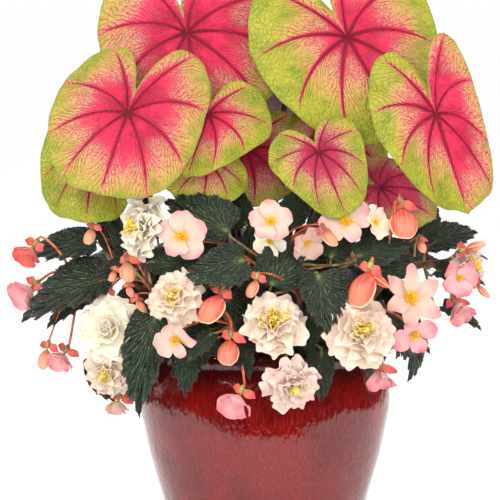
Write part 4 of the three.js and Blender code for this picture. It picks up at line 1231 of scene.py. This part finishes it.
SINGLES = table("at face radius colour petals stamens", [
    ("a", (-0.084, -0.112, 0.378), (-0.05, -0.95, 0.3), 0.027, "blush", 5, True),
    ("b", (0.146, -0.118, 0.316), (0.3, -0.9, 0.3), 0.032, "blush", 6, True),
    ("c", (-0.09, -0.15, 0.279), (-0.2, -0.85, -0.45), 0.023, "blush", 4, True),
    ("d", (-0.026, -0.164, 0.224), (-0.3, -0.65, -0.7), 0.026, "pink", 4, False),
    ("e", (0.005, -0.127, 0.394), (0, -0.9, 0.45), 0.023, "blush", 5, True),
    ("f", (0.08, -0.112, 0.394), (0.1, -0.9, 0.25), 0.028, "blush", 4, True),
    ("g", (0.15, -0.114, 0.28), (0.2, -0.8, -0.5), 0.025, "pink", 4, True),
    ("h", (0.116, -0.132, 0.244), (0.1, -0.6, -0.8), 0.022, "pink", 4, False),
    ("i", (0.196, -0.07, 0.306), (0.35, -0.6, -0.7), 0.024, "pink", 5, False),
    ("j", (-0.151, -0.076, 0.206), (-0.2, -0.4, -0.9), 0.017, "blush", 4, False),
    ("k", (-0.208, -0.054, 0.252), (-0.3, -0.7, -0.6), 0.021, "pink", 4, False),
    ("l", (-0.244, -0.022, 0.318), (-0.7, -0.5, -0.5), 0.027, "pink", 4, False),
    ("m", (-0.242, -0.034, 0.36), (-0.5, -0.5, -0.7), 0.022, "coral", 4, False),
    ("n", (-0.174, 0.122, 0.3), (-0.6, 0.6, -0.5), 0.023, "pink", 5, False),
    ("o", (0.01, 0.166, 0.268), (0, 0.85, -0.4), 0.024, "blush", 5, False),
])
for number, (letter, spec) in enumerate(SINGLES.items()):
    single_bloom(f"single_{letter}", spec, 300 + number)
print("single blooms:", len(SINGLES))

# %% [markdown]
# ### Stamens
# The knot of stamens is a dome of small yellow grains, each like a grain of rice. They are set
# by the golden angle, because that fills a dome evenly. One head is modelled and then copied
# to each open bloom.

# %% Stamens
STAMEN_GRAINS = 34
STAMEN_SPREAD, STAMEN_STEP = math.radians(78), math.radians(137.5)
STAMEN_SIZE, STAMEN_LIFT = 0.24, 0.05       # shares of the bloom's radius

deselect()
bpy.ops.mesh.primitive_ico_sphere_add(subdivisions=1, radius=1)
grain = bpy.context.object
grains = []
for i in range(STAMEN_GRAINS):
    tilt = STAMEN_SPREAD * math.sqrt((i + 0.5) / STAMEN_GRAINS)
    turn = i * STAMEN_STEP
    one = copy_of(grain, f"grain_{i}")
    far = Matrix.Translation((0, 0, rng.uniform(0.5, 0.86)))
    reach = turned(turn, "Z") @ turned(tilt, "Y") @ far
    settle(one, reach @ Matrix.Diagonal((0.12, 0.12, 0.32, 1)))
    grains.append(one)
stamen_head = joined(grains, "stamen_head", stamen_grain)
smooth(stamen_head)
bpy.data.objects.remove(grain)
for letter, spec in SINGLES.items():
    if not spec["stamens"]:
        continue
    head = copy_of(stamen_head, f"stamens_{letter}")
    face = Vector(spec["face"]).normalized()
    at = Vector(spec["at"]) + STAMEN_LIFT * spec["radius"] * face
    settle(head, aim(at, face) @ Matrix.Scale(STAMEN_SIZE * spec["radius"], 4))
    dress(head, f"bloom_{letter}_stamens")
print("stamen grains in a head:", STAMEN_GRAINS)

# %% [markdown]
# ## Buds
# A begonia bud is two broad petals pressed together like a flat purse, with a pale rim where
# they meet. The flesh has faint veins, and down the middle it is painted paler, a painted glow of
# the light that shines through it. A value that each corner of the mesh carries tells the finish
# how near the rim is.


# %% Bud finish
def bud_finish(name, neck, flesh, middle, mouth, rim):
    """Flesh between a darker neck and the mouth, with a painted glow down the middle, paler at the rim,
    and with veins.
    """
    material, shader, place = new_material(name)
    mapped = uv_map(place, "petal")
    across, out, _ = split(mapped)
    lines = noise(stretched(mapped, (22, 1.2, 1)), 1, 2)
    # Painted glow: the middle of the purse is paler, as where light shines through it.
    glow = fade(abs(across - 0.5), 0.46, 0.16) * fade(out, 0.2, 0.6, 0, 0.85)
    tone = blend(fade(out, 0, 0.35), neck, flesh)
    tone = blend(glow, tone, middle)
    tone = blend(fade(lines, 0.46, 0.68, 0, 0.35), tone, colour("f2b498"))
    tone = blend(fade(out, 0.90, 1, 0, 0.7), tone, mouth)
    tone = blend(fade(attribute(place, "seam"), 0.45, 0.90, 0, 0.75), tone, rim)
    finish_with(shader, Base_Color=tone, Roughness=0.42, Specular_IOR_Level=0.35, Subsurface_Weight=0.4,
                Subsurface_Scale=0.004, Subsurface_Radius=(1, 0.6, 0.4), Normal=bumped(lines, 0.0006))
    return material


bud_skin = bud_finish("bud_coral", *colours("b84030", "d6483c", "e8846a", "e66a5a", "eed2a0"))
young_skin = bud_finish("bud_small", *colours("7c7a3c", "cc6a50", "e2a080", "d85c54", "e6c896"))
print("bud finishes ready")

# %% [markdown]
# ### Their shape
# Two sheets would leave a gap at the rim, and a sphere has none. So a sphere primitive is
# flattened, narrowed to the stalk, ribbed a little and given a small notch at its end.


# %% Buds
def purse(length, half_width, flat, skin=bud_skin):
    deselect()
    bpy.ops.mesh.primitive_uv_sphere_add(segments=48, ring_count=28, radius=1)
    piece = bpy.context.object
    side, front, tall = coords(piece).T
    out = 0.5 * (tall + 1)
    neck = 0.76 + 0.24 * np.sin(0.5 * math.pi * np.clip(out / 0.40, 0, 1))
    seam = np.exp(-(front / 0.09) ** 2)
    groove = np.exp(-((np.abs(front) - 0.2) / 0.1) ** 2)
    lips = 1 + 0.05 * seam * side ** 2 - 0.05 * groove * side ** 2
    ribs = 1 + 0.035 * np.sin(13 * side + 1) * np.sin(math.pi * out)
    swell = np.sign(front) * np.abs(front) ** 1.35
    x = half_width * side * neck * lips * (1.08 + 0.09 * out + 0.03 * np.sin(4 * front))
    y = half_width * flat * swell * neck * ribs * (1 - 0.25 * out)
    notch = 0.06 * np.exp(-(side / 0.35) ** 2) * out ** 6
    z = length * (out + 0.03 * seam * out - notch + 0.02 * np.sin(4 * side + 1) * out ** 4)
    set_coords(piece, np.stack([x, y, z], 1))
    set_uv(piece, "petal", 0.5 + 0.5 * side, out)
    set_attribute(piece, "seam", np.exp(-(front / 0.34) ** 2) * np.clip(3 * out, 0, 1))
    paint(piece, skin)
    smooth(piece)
    return piece


# where the stalk joins; and for each purse the way it hangs, its length, half width and flatness
BUDS = {
    "a": ((0.102, -0.153, 0.346), [((-0.3, -0.3, -0.9), 0.038, 0.015, 0.6),
                                   ((0.75, 0.1, -0.55), 0.027, 0.009, 0.6)]),
    "c": ((-0.047, -0.142, 0.322), [((-0.40, -0.45, -0.8), 0.034, 0.0145, 0.6)]),
    "d": ((-0.036, -0.152, 0.278), [((-0.1, -0.25, -0.95), 0.026, 0.010, 0.7)]),
    "e": ((0.138, -0.100, 0.406), [((0.1, -0.3, -0.95), 0.032, 0.013, 0.7)]),
}
for letter, (at, purses) in BUDS.items():
    made = []
    for face, length, half_width, flat in purses:
        one = purse(length, half_width, flat)
        settle(one, aim(at, face))
        made.append(one)
    dress(joined(made, f"purse_{letter}"), f"bud_{letter}")
print("buds:", len(BUDS))

# %% [markdown]
# ## Leafy stems
# Each begonia stem leans out over the rim and carries leaves and flower stalks. The leaves that
# the eye finds first are listed one by one, because a rule wouldn't put them where they grew.

# %% Where the stems, leaves and stalks are
# A leaf has its share of the way along the stem, its hub, tip and width. A stalk has its share
# and its flower, which is a single bloom's letter or the name of a double bloom or a bud.
STEMS = {
    "left": dict(
        route=[(-0.074, -0.018, 0.206), (-0.076, -0.020, 0.240), (-0.104, -0.030, 0.292),
               (-0.146, -0.040, 0.330), (-0.188, -0.044, 0.338), (-0.216, -0.030, 0.332)],
        leaves=[(0.7, (-0.166, -0.058, 0.330), (-0.252, -0.070, 0.298), 1.3),
                (0.72, (-0.176, -0.030, 0.366), (-0.252, -0.012, 0.360), 1.0),
                (0.75, (-0.184, -0.040, 0.308), (-0.228, -0.048, 0.284), 1.1),
                (0.6, (-0.154, -0.044, 0.362), (-0.172, -0.050, 0.398), 1.2),
                (0.6, (-0.142, 0.0, 0.350), (-0.206, 0.024, 0.340), 1.2),
                (0.5, (-0.126, -0.052, 0.354), (-0.160, -0.072, 0.396), 1.2),
                (0.4, (-0.118, -0.020, 0.372), (-0.128, -0.026, 0.424), 1.2)],
        stalks=[(0.97, "l"), (0.92, "m"), (0.85, "k"), (0.45, "j")]),
    "front_left": dict(
        route=[(-0.052, -0.052, 0.206), (-0.054, -0.054, 0.240), (-0.084, -0.082, 0.290),
               (-0.106, -0.094, 0.312), (-0.122, -0.092, 0.336), (-0.122, -0.086, 0.360)],
        leaves=[(0.5, (-0.110, -0.112, 0.300), (-0.134, -0.132, 0.202), 0.9),
                (0.8, (-0.116, -0.104, 0.352), (-0.070, -0.124, 0.344), 1.2),
                (0.8, (-0.140, -0.078, 0.344), (-0.180, -0.088, 0.334), 1.2)],
        stalks=[(0.6, "rose_a"), (0.45, "rose_b"), (0.97, "rose_c"), (0.6, "rose_d")]),
    "front": dict(
        route=[(-0.018, -0.066, 0.206), (-0.018, -0.068, 0.240), (-0.030, -0.108, 0.284),
               (-0.042, -0.126, 0.302), (-0.042, -0.128, 0.326)],
        leaves=[(0.6, (-0.072, -0.128, 0.268), (-0.083, -0.138, 0.220), 1.1),
                (0.7, (-0.054, -0.146, 0.284), (-0.080, -0.154, 0.258), 1.0),
                (0.6, (-0.024, -0.140, 0.280), (-0.016, -0.152, 0.240), 1.0),
                (0.97, (-0.022, -0.128, 0.356), (-0.082, -0.142, 0.342), 1.5)],
        stalks=[(0.7, "c"), (0.75, "d"), (0.95, "bud_c"), (0.85, "bud_d")]),
    "middle": dict(
        route=[(0.020, -0.066, 0.206), (0.020, -0.068, 0.240), (0.028, -0.106, 0.284),
               (0.034, -0.122, 0.308), (0.030, -0.122, 0.334)],
        leaves=[(0.95, (0.006, -0.128, 0.330), (0.022, -0.108, 0.382), 1.7),
                (0.9, (0.052, -0.136, 0.342), (0.062, -0.168, 0.290), 1.5),
                (0.6, (0.056, -0.136, 0.264), (0.057, -0.148, 0.216), 1.1),
                (0.7, (0.046, -0.134, 0.304), (0.042, -0.144, 0.262), 1.0)],
        stalks=[(0.8, "rose_e"), (0.6, "rose_g")]),
    "front_right": dict(
        route=[(0.052, -0.052, 0.206), (0.054, -0.054, 0.240), (0.084, -0.084, 0.292),
               (0.106, -0.098, 0.312), (0.122, -0.102, 0.332)],
        leaves=[(0.97, (0.114, -0.112, 0.342), (0.156, -0.096, 0.358), 1.2),
                (0.7, (0.126, -0.088, 0.290), (0.170, -0.092, 0.262), 1.2),
                (0.6, (0.076, -0.116, 0.316), (0.078, -0.138, 0.270), 1.1)],
        stalks=[(0.65, "rose_f"), (0.97, "b"), (0.75, "g"), (0.55, "h"), (0.85, "bud_a"),
                (0.97, "bud_e")]),
    "right": dict(
        route=[(0.076, -0.012, 0.206), (0.078, -0.014, 0.240), (0.110, -0.024, 0.296),
               (0.148, -0.034, 0.336), (0.184, -0.038, 0.346), (0.206, -0.030, 0.348)],
        leaves=[(0.75, (0.160, -0.052, 0.372), (0.178, -0.032, 0.410), 1.1),
                (0.8, (0.172, -0.046, 0.366), (0.222, -0.028, 0.380), 1.1),
                (0.9, (0.204, -0.012, 0.356), (0.234, -0.006, 0.350), 0.9),
                (0.8, (0.184, -0.044, 0.300), (0.224, -0.054, 0.282), 1.0),
                (0.6, (0.146, 0.004, 0.356), (0.206, 0.024, 0.366), 1.2),
                (0.8, (0.176, -0.058, 0.338), (0.226, -0.064, 0.330), 1.1)],
        stalks=[(0.97, "rose_h"), (0.85, "i")]),
    "crown": dict(
        route=[(-0.008, -0.048, 0.206), (-0.008, -0.050, 0.240), (-0.008, -0.076, 0.310),
               (-0.002, -0.090, 0.346), (0.004, -0.092, 0.368)],
        leaves=[(0.9, (-0.038, -0.102, 0.382), (-0.102, -0.086, 0.416), 1.3),
                (0.9, (0.066, -0.108, 0.356), (0.092, -0.090, 0.396), 1.3),
                (0.8, (0.092, -0.112, 0.358), (0.150, -0.098, 0.374), 1.1),
                (0.9, (0.024, -0.058, 0.388), (0.050, -0.066, 0.428), 1.3),
                (0.9, (0.086, -0.060, 0.384), (0.122, -0.066, 0.414), 1.2),
                (0.9, (-0.020, -0.052, 0.386), (-0.036, -0.060, 0.430), 1.2),
                (0.7, (-0.018, -0.074, 0.350), (-0.004, -0.088, 0.398), 1.3),
                (0.7, (0.046, -0.070, 0.350), (0.058, -0.084, 0.400), 1.4),
                (0.7, (0.104, -0.066, 0.352), (0.122, -0.076, 0.400), 1.3)],
        stalks=[(0.97, "e"), (0.9, "f"), (0.85, "a")]),
    "back_left": dict(
        route=[(-0.050, 0.055, 0.206), (-0.052, 0.057, 0.240), (-0.080, 0.092, 0.296),
               (-0.110, 0.116, 0.322), (-0.138, 0.124, 0.328)],
        leaves=[(0.8, (-0.092, 0.120, 0.344), (-0.122, 0.172, 0.334), 1.3),
                (0.95, (-0.138, 0.092, 0.342), (-0.202, 0.112, 0.322), 1.2),
                (0.9, (-0.158, 0.058, 0.330), (-0.224, 0.056, 0.306), 1.2),
                (0.6, (-0.058, 0.126, 0.330), (-0.062, 0.188, 0.300), 1.3),
                (0.7, (-0.118, 0.122, 0.288), (-0.148, 0.142, 0.226), 1.1),
                (0.6, (-0.034, 0.100, 0.352), (-0.046, 0.162, 0.372), 1.3)],
        stalks=[(0.8, "rose_i"), (0.97, "n")]),
    "back_right": dict(
        route=[(0.050, 0.055, 0.206), (0.052, 0.057, 0.240), (0.084, 0.090, 0.298),
               (0.110, 0.116, 0.326), (0.130, 0.126, 0.334)],
        leaves=[(0.85, (0.092, 0.116, 0.350), (0.128, 0.168, 0.342), 1.3),
                (0.95, (0.140, 0.084, 0.344), (0.206, 0.092, 0.328), 1.2),
                (0.6, (0.058, 0.128, 0.322), (0.056, 0.192, 0.294), 1.3),
                (0.55, (0.018, 0.106, 0.340), (0.006, 0.174, 0.350), 1.2),
                (0.7, (0.110, 0.126, 0.288), (0.136, 0.150, 0.224), 1.1),
                (0.9, (0.156, 0.046, 0.340), (0.218, 0.052, 0.332), 1.1)],
        stalks=[(0.8, "rose_j"), (0.6, "o")]),
}
print("hand-placed begonia leaves:", sum(len(s["leaves"]) for s in STEMS.values()))

# %% [markdown]
# ### Seed cases and stalks
# Behind a begonia's seed flower sits a case with three wings, one bigger than the others. A
# wing is much like a small pointed petal, so the petal's function makes it, and a sphere
# stretched to an egg is the case. A stalk rises in an arch, because the bloom weighs it down.

# %% Seed cases
BIG_WING, WING = 1.75, 1.1                  # shares of the case's size
WING_THICKNESS = 0.0006


def winged_case(at, facing, size):
    """The green seed case behind a bloom, with its three coral wings."""
    wings = []
    for i in range(3):
        long = BIG_WING if i == 0 else WING
        wing = petal(long * size, WING * size, cup=0.2, curl=0.05, ruffle=0.06, phase=i, point=0.35,
                     master=SMALL_PETAL)
        stand = turned(i * 2 * math.pi / 3, "Z") @ turned(math.pi / 2, "X")
        settle(wing, stand @ turned(0.45, "Z"))
        wings.append(wing)
    case = close_sheets(joined(wings, "wings", PETALS["coral"]), WING_THICKNESS)
    bpy.ops.mesh.primitive_uv_sphere_add(segments=16, ring_count=10, radius=1)
    seed = bpy.context.object
    settle(seed, Matrix.Diagonal((0.36 * size, 0.36 * size, 0.62 * size, 1)))
    paint(seed, leafstalk_skin)
    smooth(seed)
    whole = joined([case, seed], "seed_case")
    settle(whole, aim(at - 0.75 * size * facing, facing))
    return whole


def flower_stalk(start, at, facing, neck, arch, radii, steps):
    """A stalk in an arch. Over its last stretch, the neck, it meets its flower from behind."""
    start = Vector(start)
    behind = at - neck * facing
    top = start.lerp(behind, 0.5) + UP * arch * (behind - start).length
    return rod("stalk", [start, top, behind, at], *radii, stalk_skin, sides=6, steps=steps)


def flower_of(key):
    """Where a flower is, the way it faces, and whether it has a seed case."""
    if key.startswith("rose_"):
        spec = DOUBLES[key[5:]]
        return Vector(spec["at"]), Vector(spec["face"]).normalized(), False
    if key.startswith("bud_"):
        at, purses = BUDS[key[4:]]
        return Vector(at), Vector(purses[0][0]).normalized(), True
    spec = SINGLES[key]
    return Vector(spec["at"]), Vector(spec["face"]).normalized(), not spec["stamens"]


# %% [markdown]
# ### Small buds and blooms
# Between the big blooms some stems carry buds and blooms that are still small, on thin stalks.

# %% Where the small ones are
# share of the way along the stem, place, way it faces, size, and a bloom's petals or None for a bud
SMALL_ONES = {
    "left": [(0.70, (-0.178, -0.070, 0.383), (-0.2, -0.4, -0.8), 0.018, None),
             (0.85, (-0.226, -0.050, 0.256), (-0.2, -0.3, -0.9), 0.022, None),
             (0.45, (-0.154, -0.096, 0.342), (-0.2, -0.4, -0.8), 0.012, None)],
    "front_left": [(0.85, (-0.141, -0.104, 0.352), (0.1, -0.4, -0.9), 0.022, None),
                   (0.80, (-0.139, -0.110, 0.328), (0.3, -0.4, -0.8), 0.013, None),
                   (0.70, (-0.130, -0.114, 0.314), (0.5, -0.4, -0.7), 0.016, None)],
    "middle": [(0.90, (-0.010, -0.140, 0.337), (-0.3, -0.4, -0.8), 0.020, None)],
    "crown": [(0.95, (0.060, -0.124, 0.385), (0.3, -0.5, -0.5), 0.022, None),
              (0.90, (0.005, -0.114, 0.374), (-0.3, -0.8, -0.4), 0.019, "white"),
              (0.90, (0.041, -0.116, 0.373), (0.5, -0.8, -0.3), 0.020, "blush"),
              (0.95, (0.110, -0.110, 0.392), (0.8, -0.7, 0.3), 0.019, "cream")],
    "right": [(0.95, (0.218, -0.066, 0.324), (0.6, -0.2, -0.6), 0.018, None),
              (0.90, (0.198, -0.080, 0.334), (0.3, -0.8, -0.3), 0.021, "pink"),
              (0.95, (0.206, -0.070, 0.362), (0.5, -0.4, 0.2), 0.024, None),
              (0.60, (0.158, -0.084, 0.372), (0.2, -0.4, -0.8), 0.014, None)],
}


def small_one(start, at, face, size, petals, draw):
    """A small bud or bloom on its own thin stalk."""
    at, facing = Vector(at), Vector(face).normalized()
    parts = [flower_stalk(start, at, facing, neck=0.4 * size, arch=0.15, radii=(0.0012, 0.0009), steps=10)]
    if petals is None:
        parts += [purse(size, 0.32 * size, 0.7, young_skin), winged_case(at, facing, 0.36 * size)]
        settle(parts[1], aim(at, face))
        return parts
    bloom = open_petals("small_bloom", 5, size, True, PETALS[petals], draw)
    grains = copy_of(stamen_head, "small_grains")
    settle(grains, Matrix.Scale(0.22 * size, 4))
    bloom = joined([bloom, grains], "small_bloom")
    settle(bloom, aim(at, face, draw.uniform(0, 6.3)))
    return [*parts, bloom]


print("small buds and blooms:", sum(len(some) for some in SMALL_ONES.values()))

# %% [markdown]
# ### Leaves that fill the mound
# A real begonia hides its stems under leaves that overlap like tiles, each turned to the
# light. So the rule walks round a dome in even steps. At each step it sets a leaf that lies on
# the dome, and leads its stalk to the nearest stem. It skips a leaf that would cover a bloom.

# %% Places on the dome
MOUND_LEAVES = 130
MOUND_MIDDLE = Vector((-0.012, 0, 0.262))
MOUND_WIDE, MOUND_DEEP, MOUND_HIGH = 0.178, 0.150, 0.105    # half its width and depth, and its height
HIGHEST, LOWEST = 14, 102                   # degrees from the top of the dome
MOUND_LEAF_LENGTHS = 0.048, 0.072
FRONT_PULL = 0.030                          # how much less deep it is at the front
GOLDEN_TURN = math.radians(137.508)
RIGHT_SIDE, RIGHT_LOWEST = 0.13, 0.222      # at the right the mound ends higher up
LINE_STEPS, LOWEST_STOP = 60, 14            # stops along a stem, and the first that bears a leaf
CLIMB_DOWN = 0.6                            # how much further off a stop above the leaf counts
CLEAR_ROUND, CLEAR_BEHIND, CLEAR_BEFORE = 0.026, -0.016, 0.09    # free space at each bloom
BOX_MARGIN = 0.004
BOX_LOW, BOX_HIGH = np.array(cad_box[0]) + BOX_MARGIN, np.array(cad_box[1]) - BOX_MARGIN
FLOWERS = [(Vector(f["at"]), Vector(f["face"]).normalized(), f["radius"])
           for f in (*DOUBLES.values(), *SINGLES.values())]
SPOTS = [(at, 0.02) for at, purses in BUDS.values()]
SPOTS += [(at, 0.5 * size) for some in SMALL_ONES.values() for share, at, face, size, petals in some]
FLOWERS += [(Vector(at), Vector((at[0], at[1], 0)).normalized(), size) for at, size in SPOTS]


def dome_place(number, draw):
    """A hub and a tip on the dome."""
    level = (number + 0.5) / MOUND_LEAVES
    turn = number * GOLDEN_TURN
    drop = math.radians(HIGHEST + (LOWEST - HIGHEST) * level ** 0.75)
    front = max(0.0, -math.sin(turn))
    reach_y = MOUND_DEEP - FRONT_PULL * front
    deep = draw.uniform(0.78, 1.0)
    out = Vector((math.cos(turn), math.sin(turn), 0))
    hub = MOUND_MIDDLE + deep * math.sin(drop) * Vector((MOUND_WIDE * out.x, reach_y * out.y, 0))
    hub.z += deep * math.cos(drop) * MOUND_HIGH
    slope = out * math.cos(drop) - UP * math.sin(drop)
    sideways = UP.cross(out) * draw.uniform(-0.8, 0.8)
    heading = (slope + sideways + UP * draw.uniform(-0.1, 0.45)).normalized()
    tip = hub + heading * draw.uniform(*MOUND_LEAF_LENGTHS)
    return hub, Vector(np.clip(np.array(tip), BOX_LOW, BOX_HIGH))


def covers_a_bloom(hub, tip):
    """Whether a leaf there would lie before a bloom, or in it."""
    for at, face, radius in FLOWERS:
        for spot in (hub, hub.lerp(tip, 0.5), tip):
            away = spot - at
            before = away.dot(Vector((face.x, face.y, 0)).normalized())
            beside = (away - before * face).length
            if CLEAR_BEHIND < before < CLEAR_BEFORE and beside < radius + CLEAR_ROUND:
                return True
    return False


STEM_LINES = {name: smooth_route(spec["route"], LINE_STEPS) for name, spec in STEMS.items()}
mound = {name: [] for name in STEMS}
draw = np.random.default_rng(11)
for number in range(MOUND_LEAVES):
    hub, tip = dome_place(number, draw)
    if covers_a_bloom(hub, tip) or (hub.x > RIGHT_SIDE and tip.z < RIGHT_LOWEST):
        continue
    nearest = None
    for name, line in STEM_LINES.items():
        stops = line[LOWEST_STOP:]
        gaps = np.linalg.norm(stops - np.array(hub), axis=1)
        gaps = gaps + CLIMB_DOWN * np.clip(stops[:, 2] - hub.z, 0, 1)
        if nearest is None or gaps.min() < nearest[0]:
            nearest = (gaps.min(), name, LOWEST_STOP + int(gaps.argmin()))
    mound[nearest[1]].append((nearest[2], hub, tip))
print("leaves on the dome:", {name: len(found) for name, found in mound.items()})

# %% [markdown]
# ### The stems
# All that grows on one stem becomes one piece, as it is on the plant. Its leaves, stalks, seed
# cases and small blooms are made first and joined with the stem's rod.

# %% The leafy stems
STEM_RADII = 0.0042, 0.0026
CASE_SIZE = 0.0095


def leafy_stem(name, spec, seed):
    draw = np.random.default_rng(seed)
    line = STEM_LINES[name]
    parts = [rod("stem", spec["route"], *STEM_RADII, stem_skin, sides=10, steps=22)]
    for number, (share, hub, tip, wide) in enumerate(spec["leaves"]):
        lean = 1 if number % 2 == 0 else -1
        parts += begonia_leaf(hub, tip, wide, lean, draw.uniform(0, 6.3), line[round(LINE_STEPS * share)])
    for stop, hub, tip in mound[name]:
        lean = draw.choice((-1, 1))
        parts += begonia_leaf(hub, tip, draw.uniform(1.05, 1.4), lean, draw.uniform(0, 6.3), line[stop])
    for share, key in spec["stalks"]:
        at, facing, cased = flower_of(key)
        parts.append(flower_stalk(line[round(LINE_STEPS * share)], at, facing, neck=0.016, arch=0.12,
                                  radii=(0.0016, 0.0013), steps=12))
        if cased:
            parts.append(winged_case(at, facing, CASE_SIZE))
    for share, at, face, size, petals in SMALL_ONES.get(name, []):
        parts += small_one(line[round(LINE_STEPS * share)], at, face, size, petals, draw)
    whole = joined(parts, f"begonia_{name}")
    dress(whole, f"leafy_stem_{name}")
    return whole


for number, (name, spec) in enumerate(STEMS.items()):
    whole = leafy_stem(name, spec, 500 + number)
    print(name, "faces:", len(whole.data.polygons))
bpy.data.objects.remove(begonia_grid)
for master in (stamen_head, BROAD_PETAL[0], SMALL_PETAL[0]):
    bpy.data.objects.remove(master)
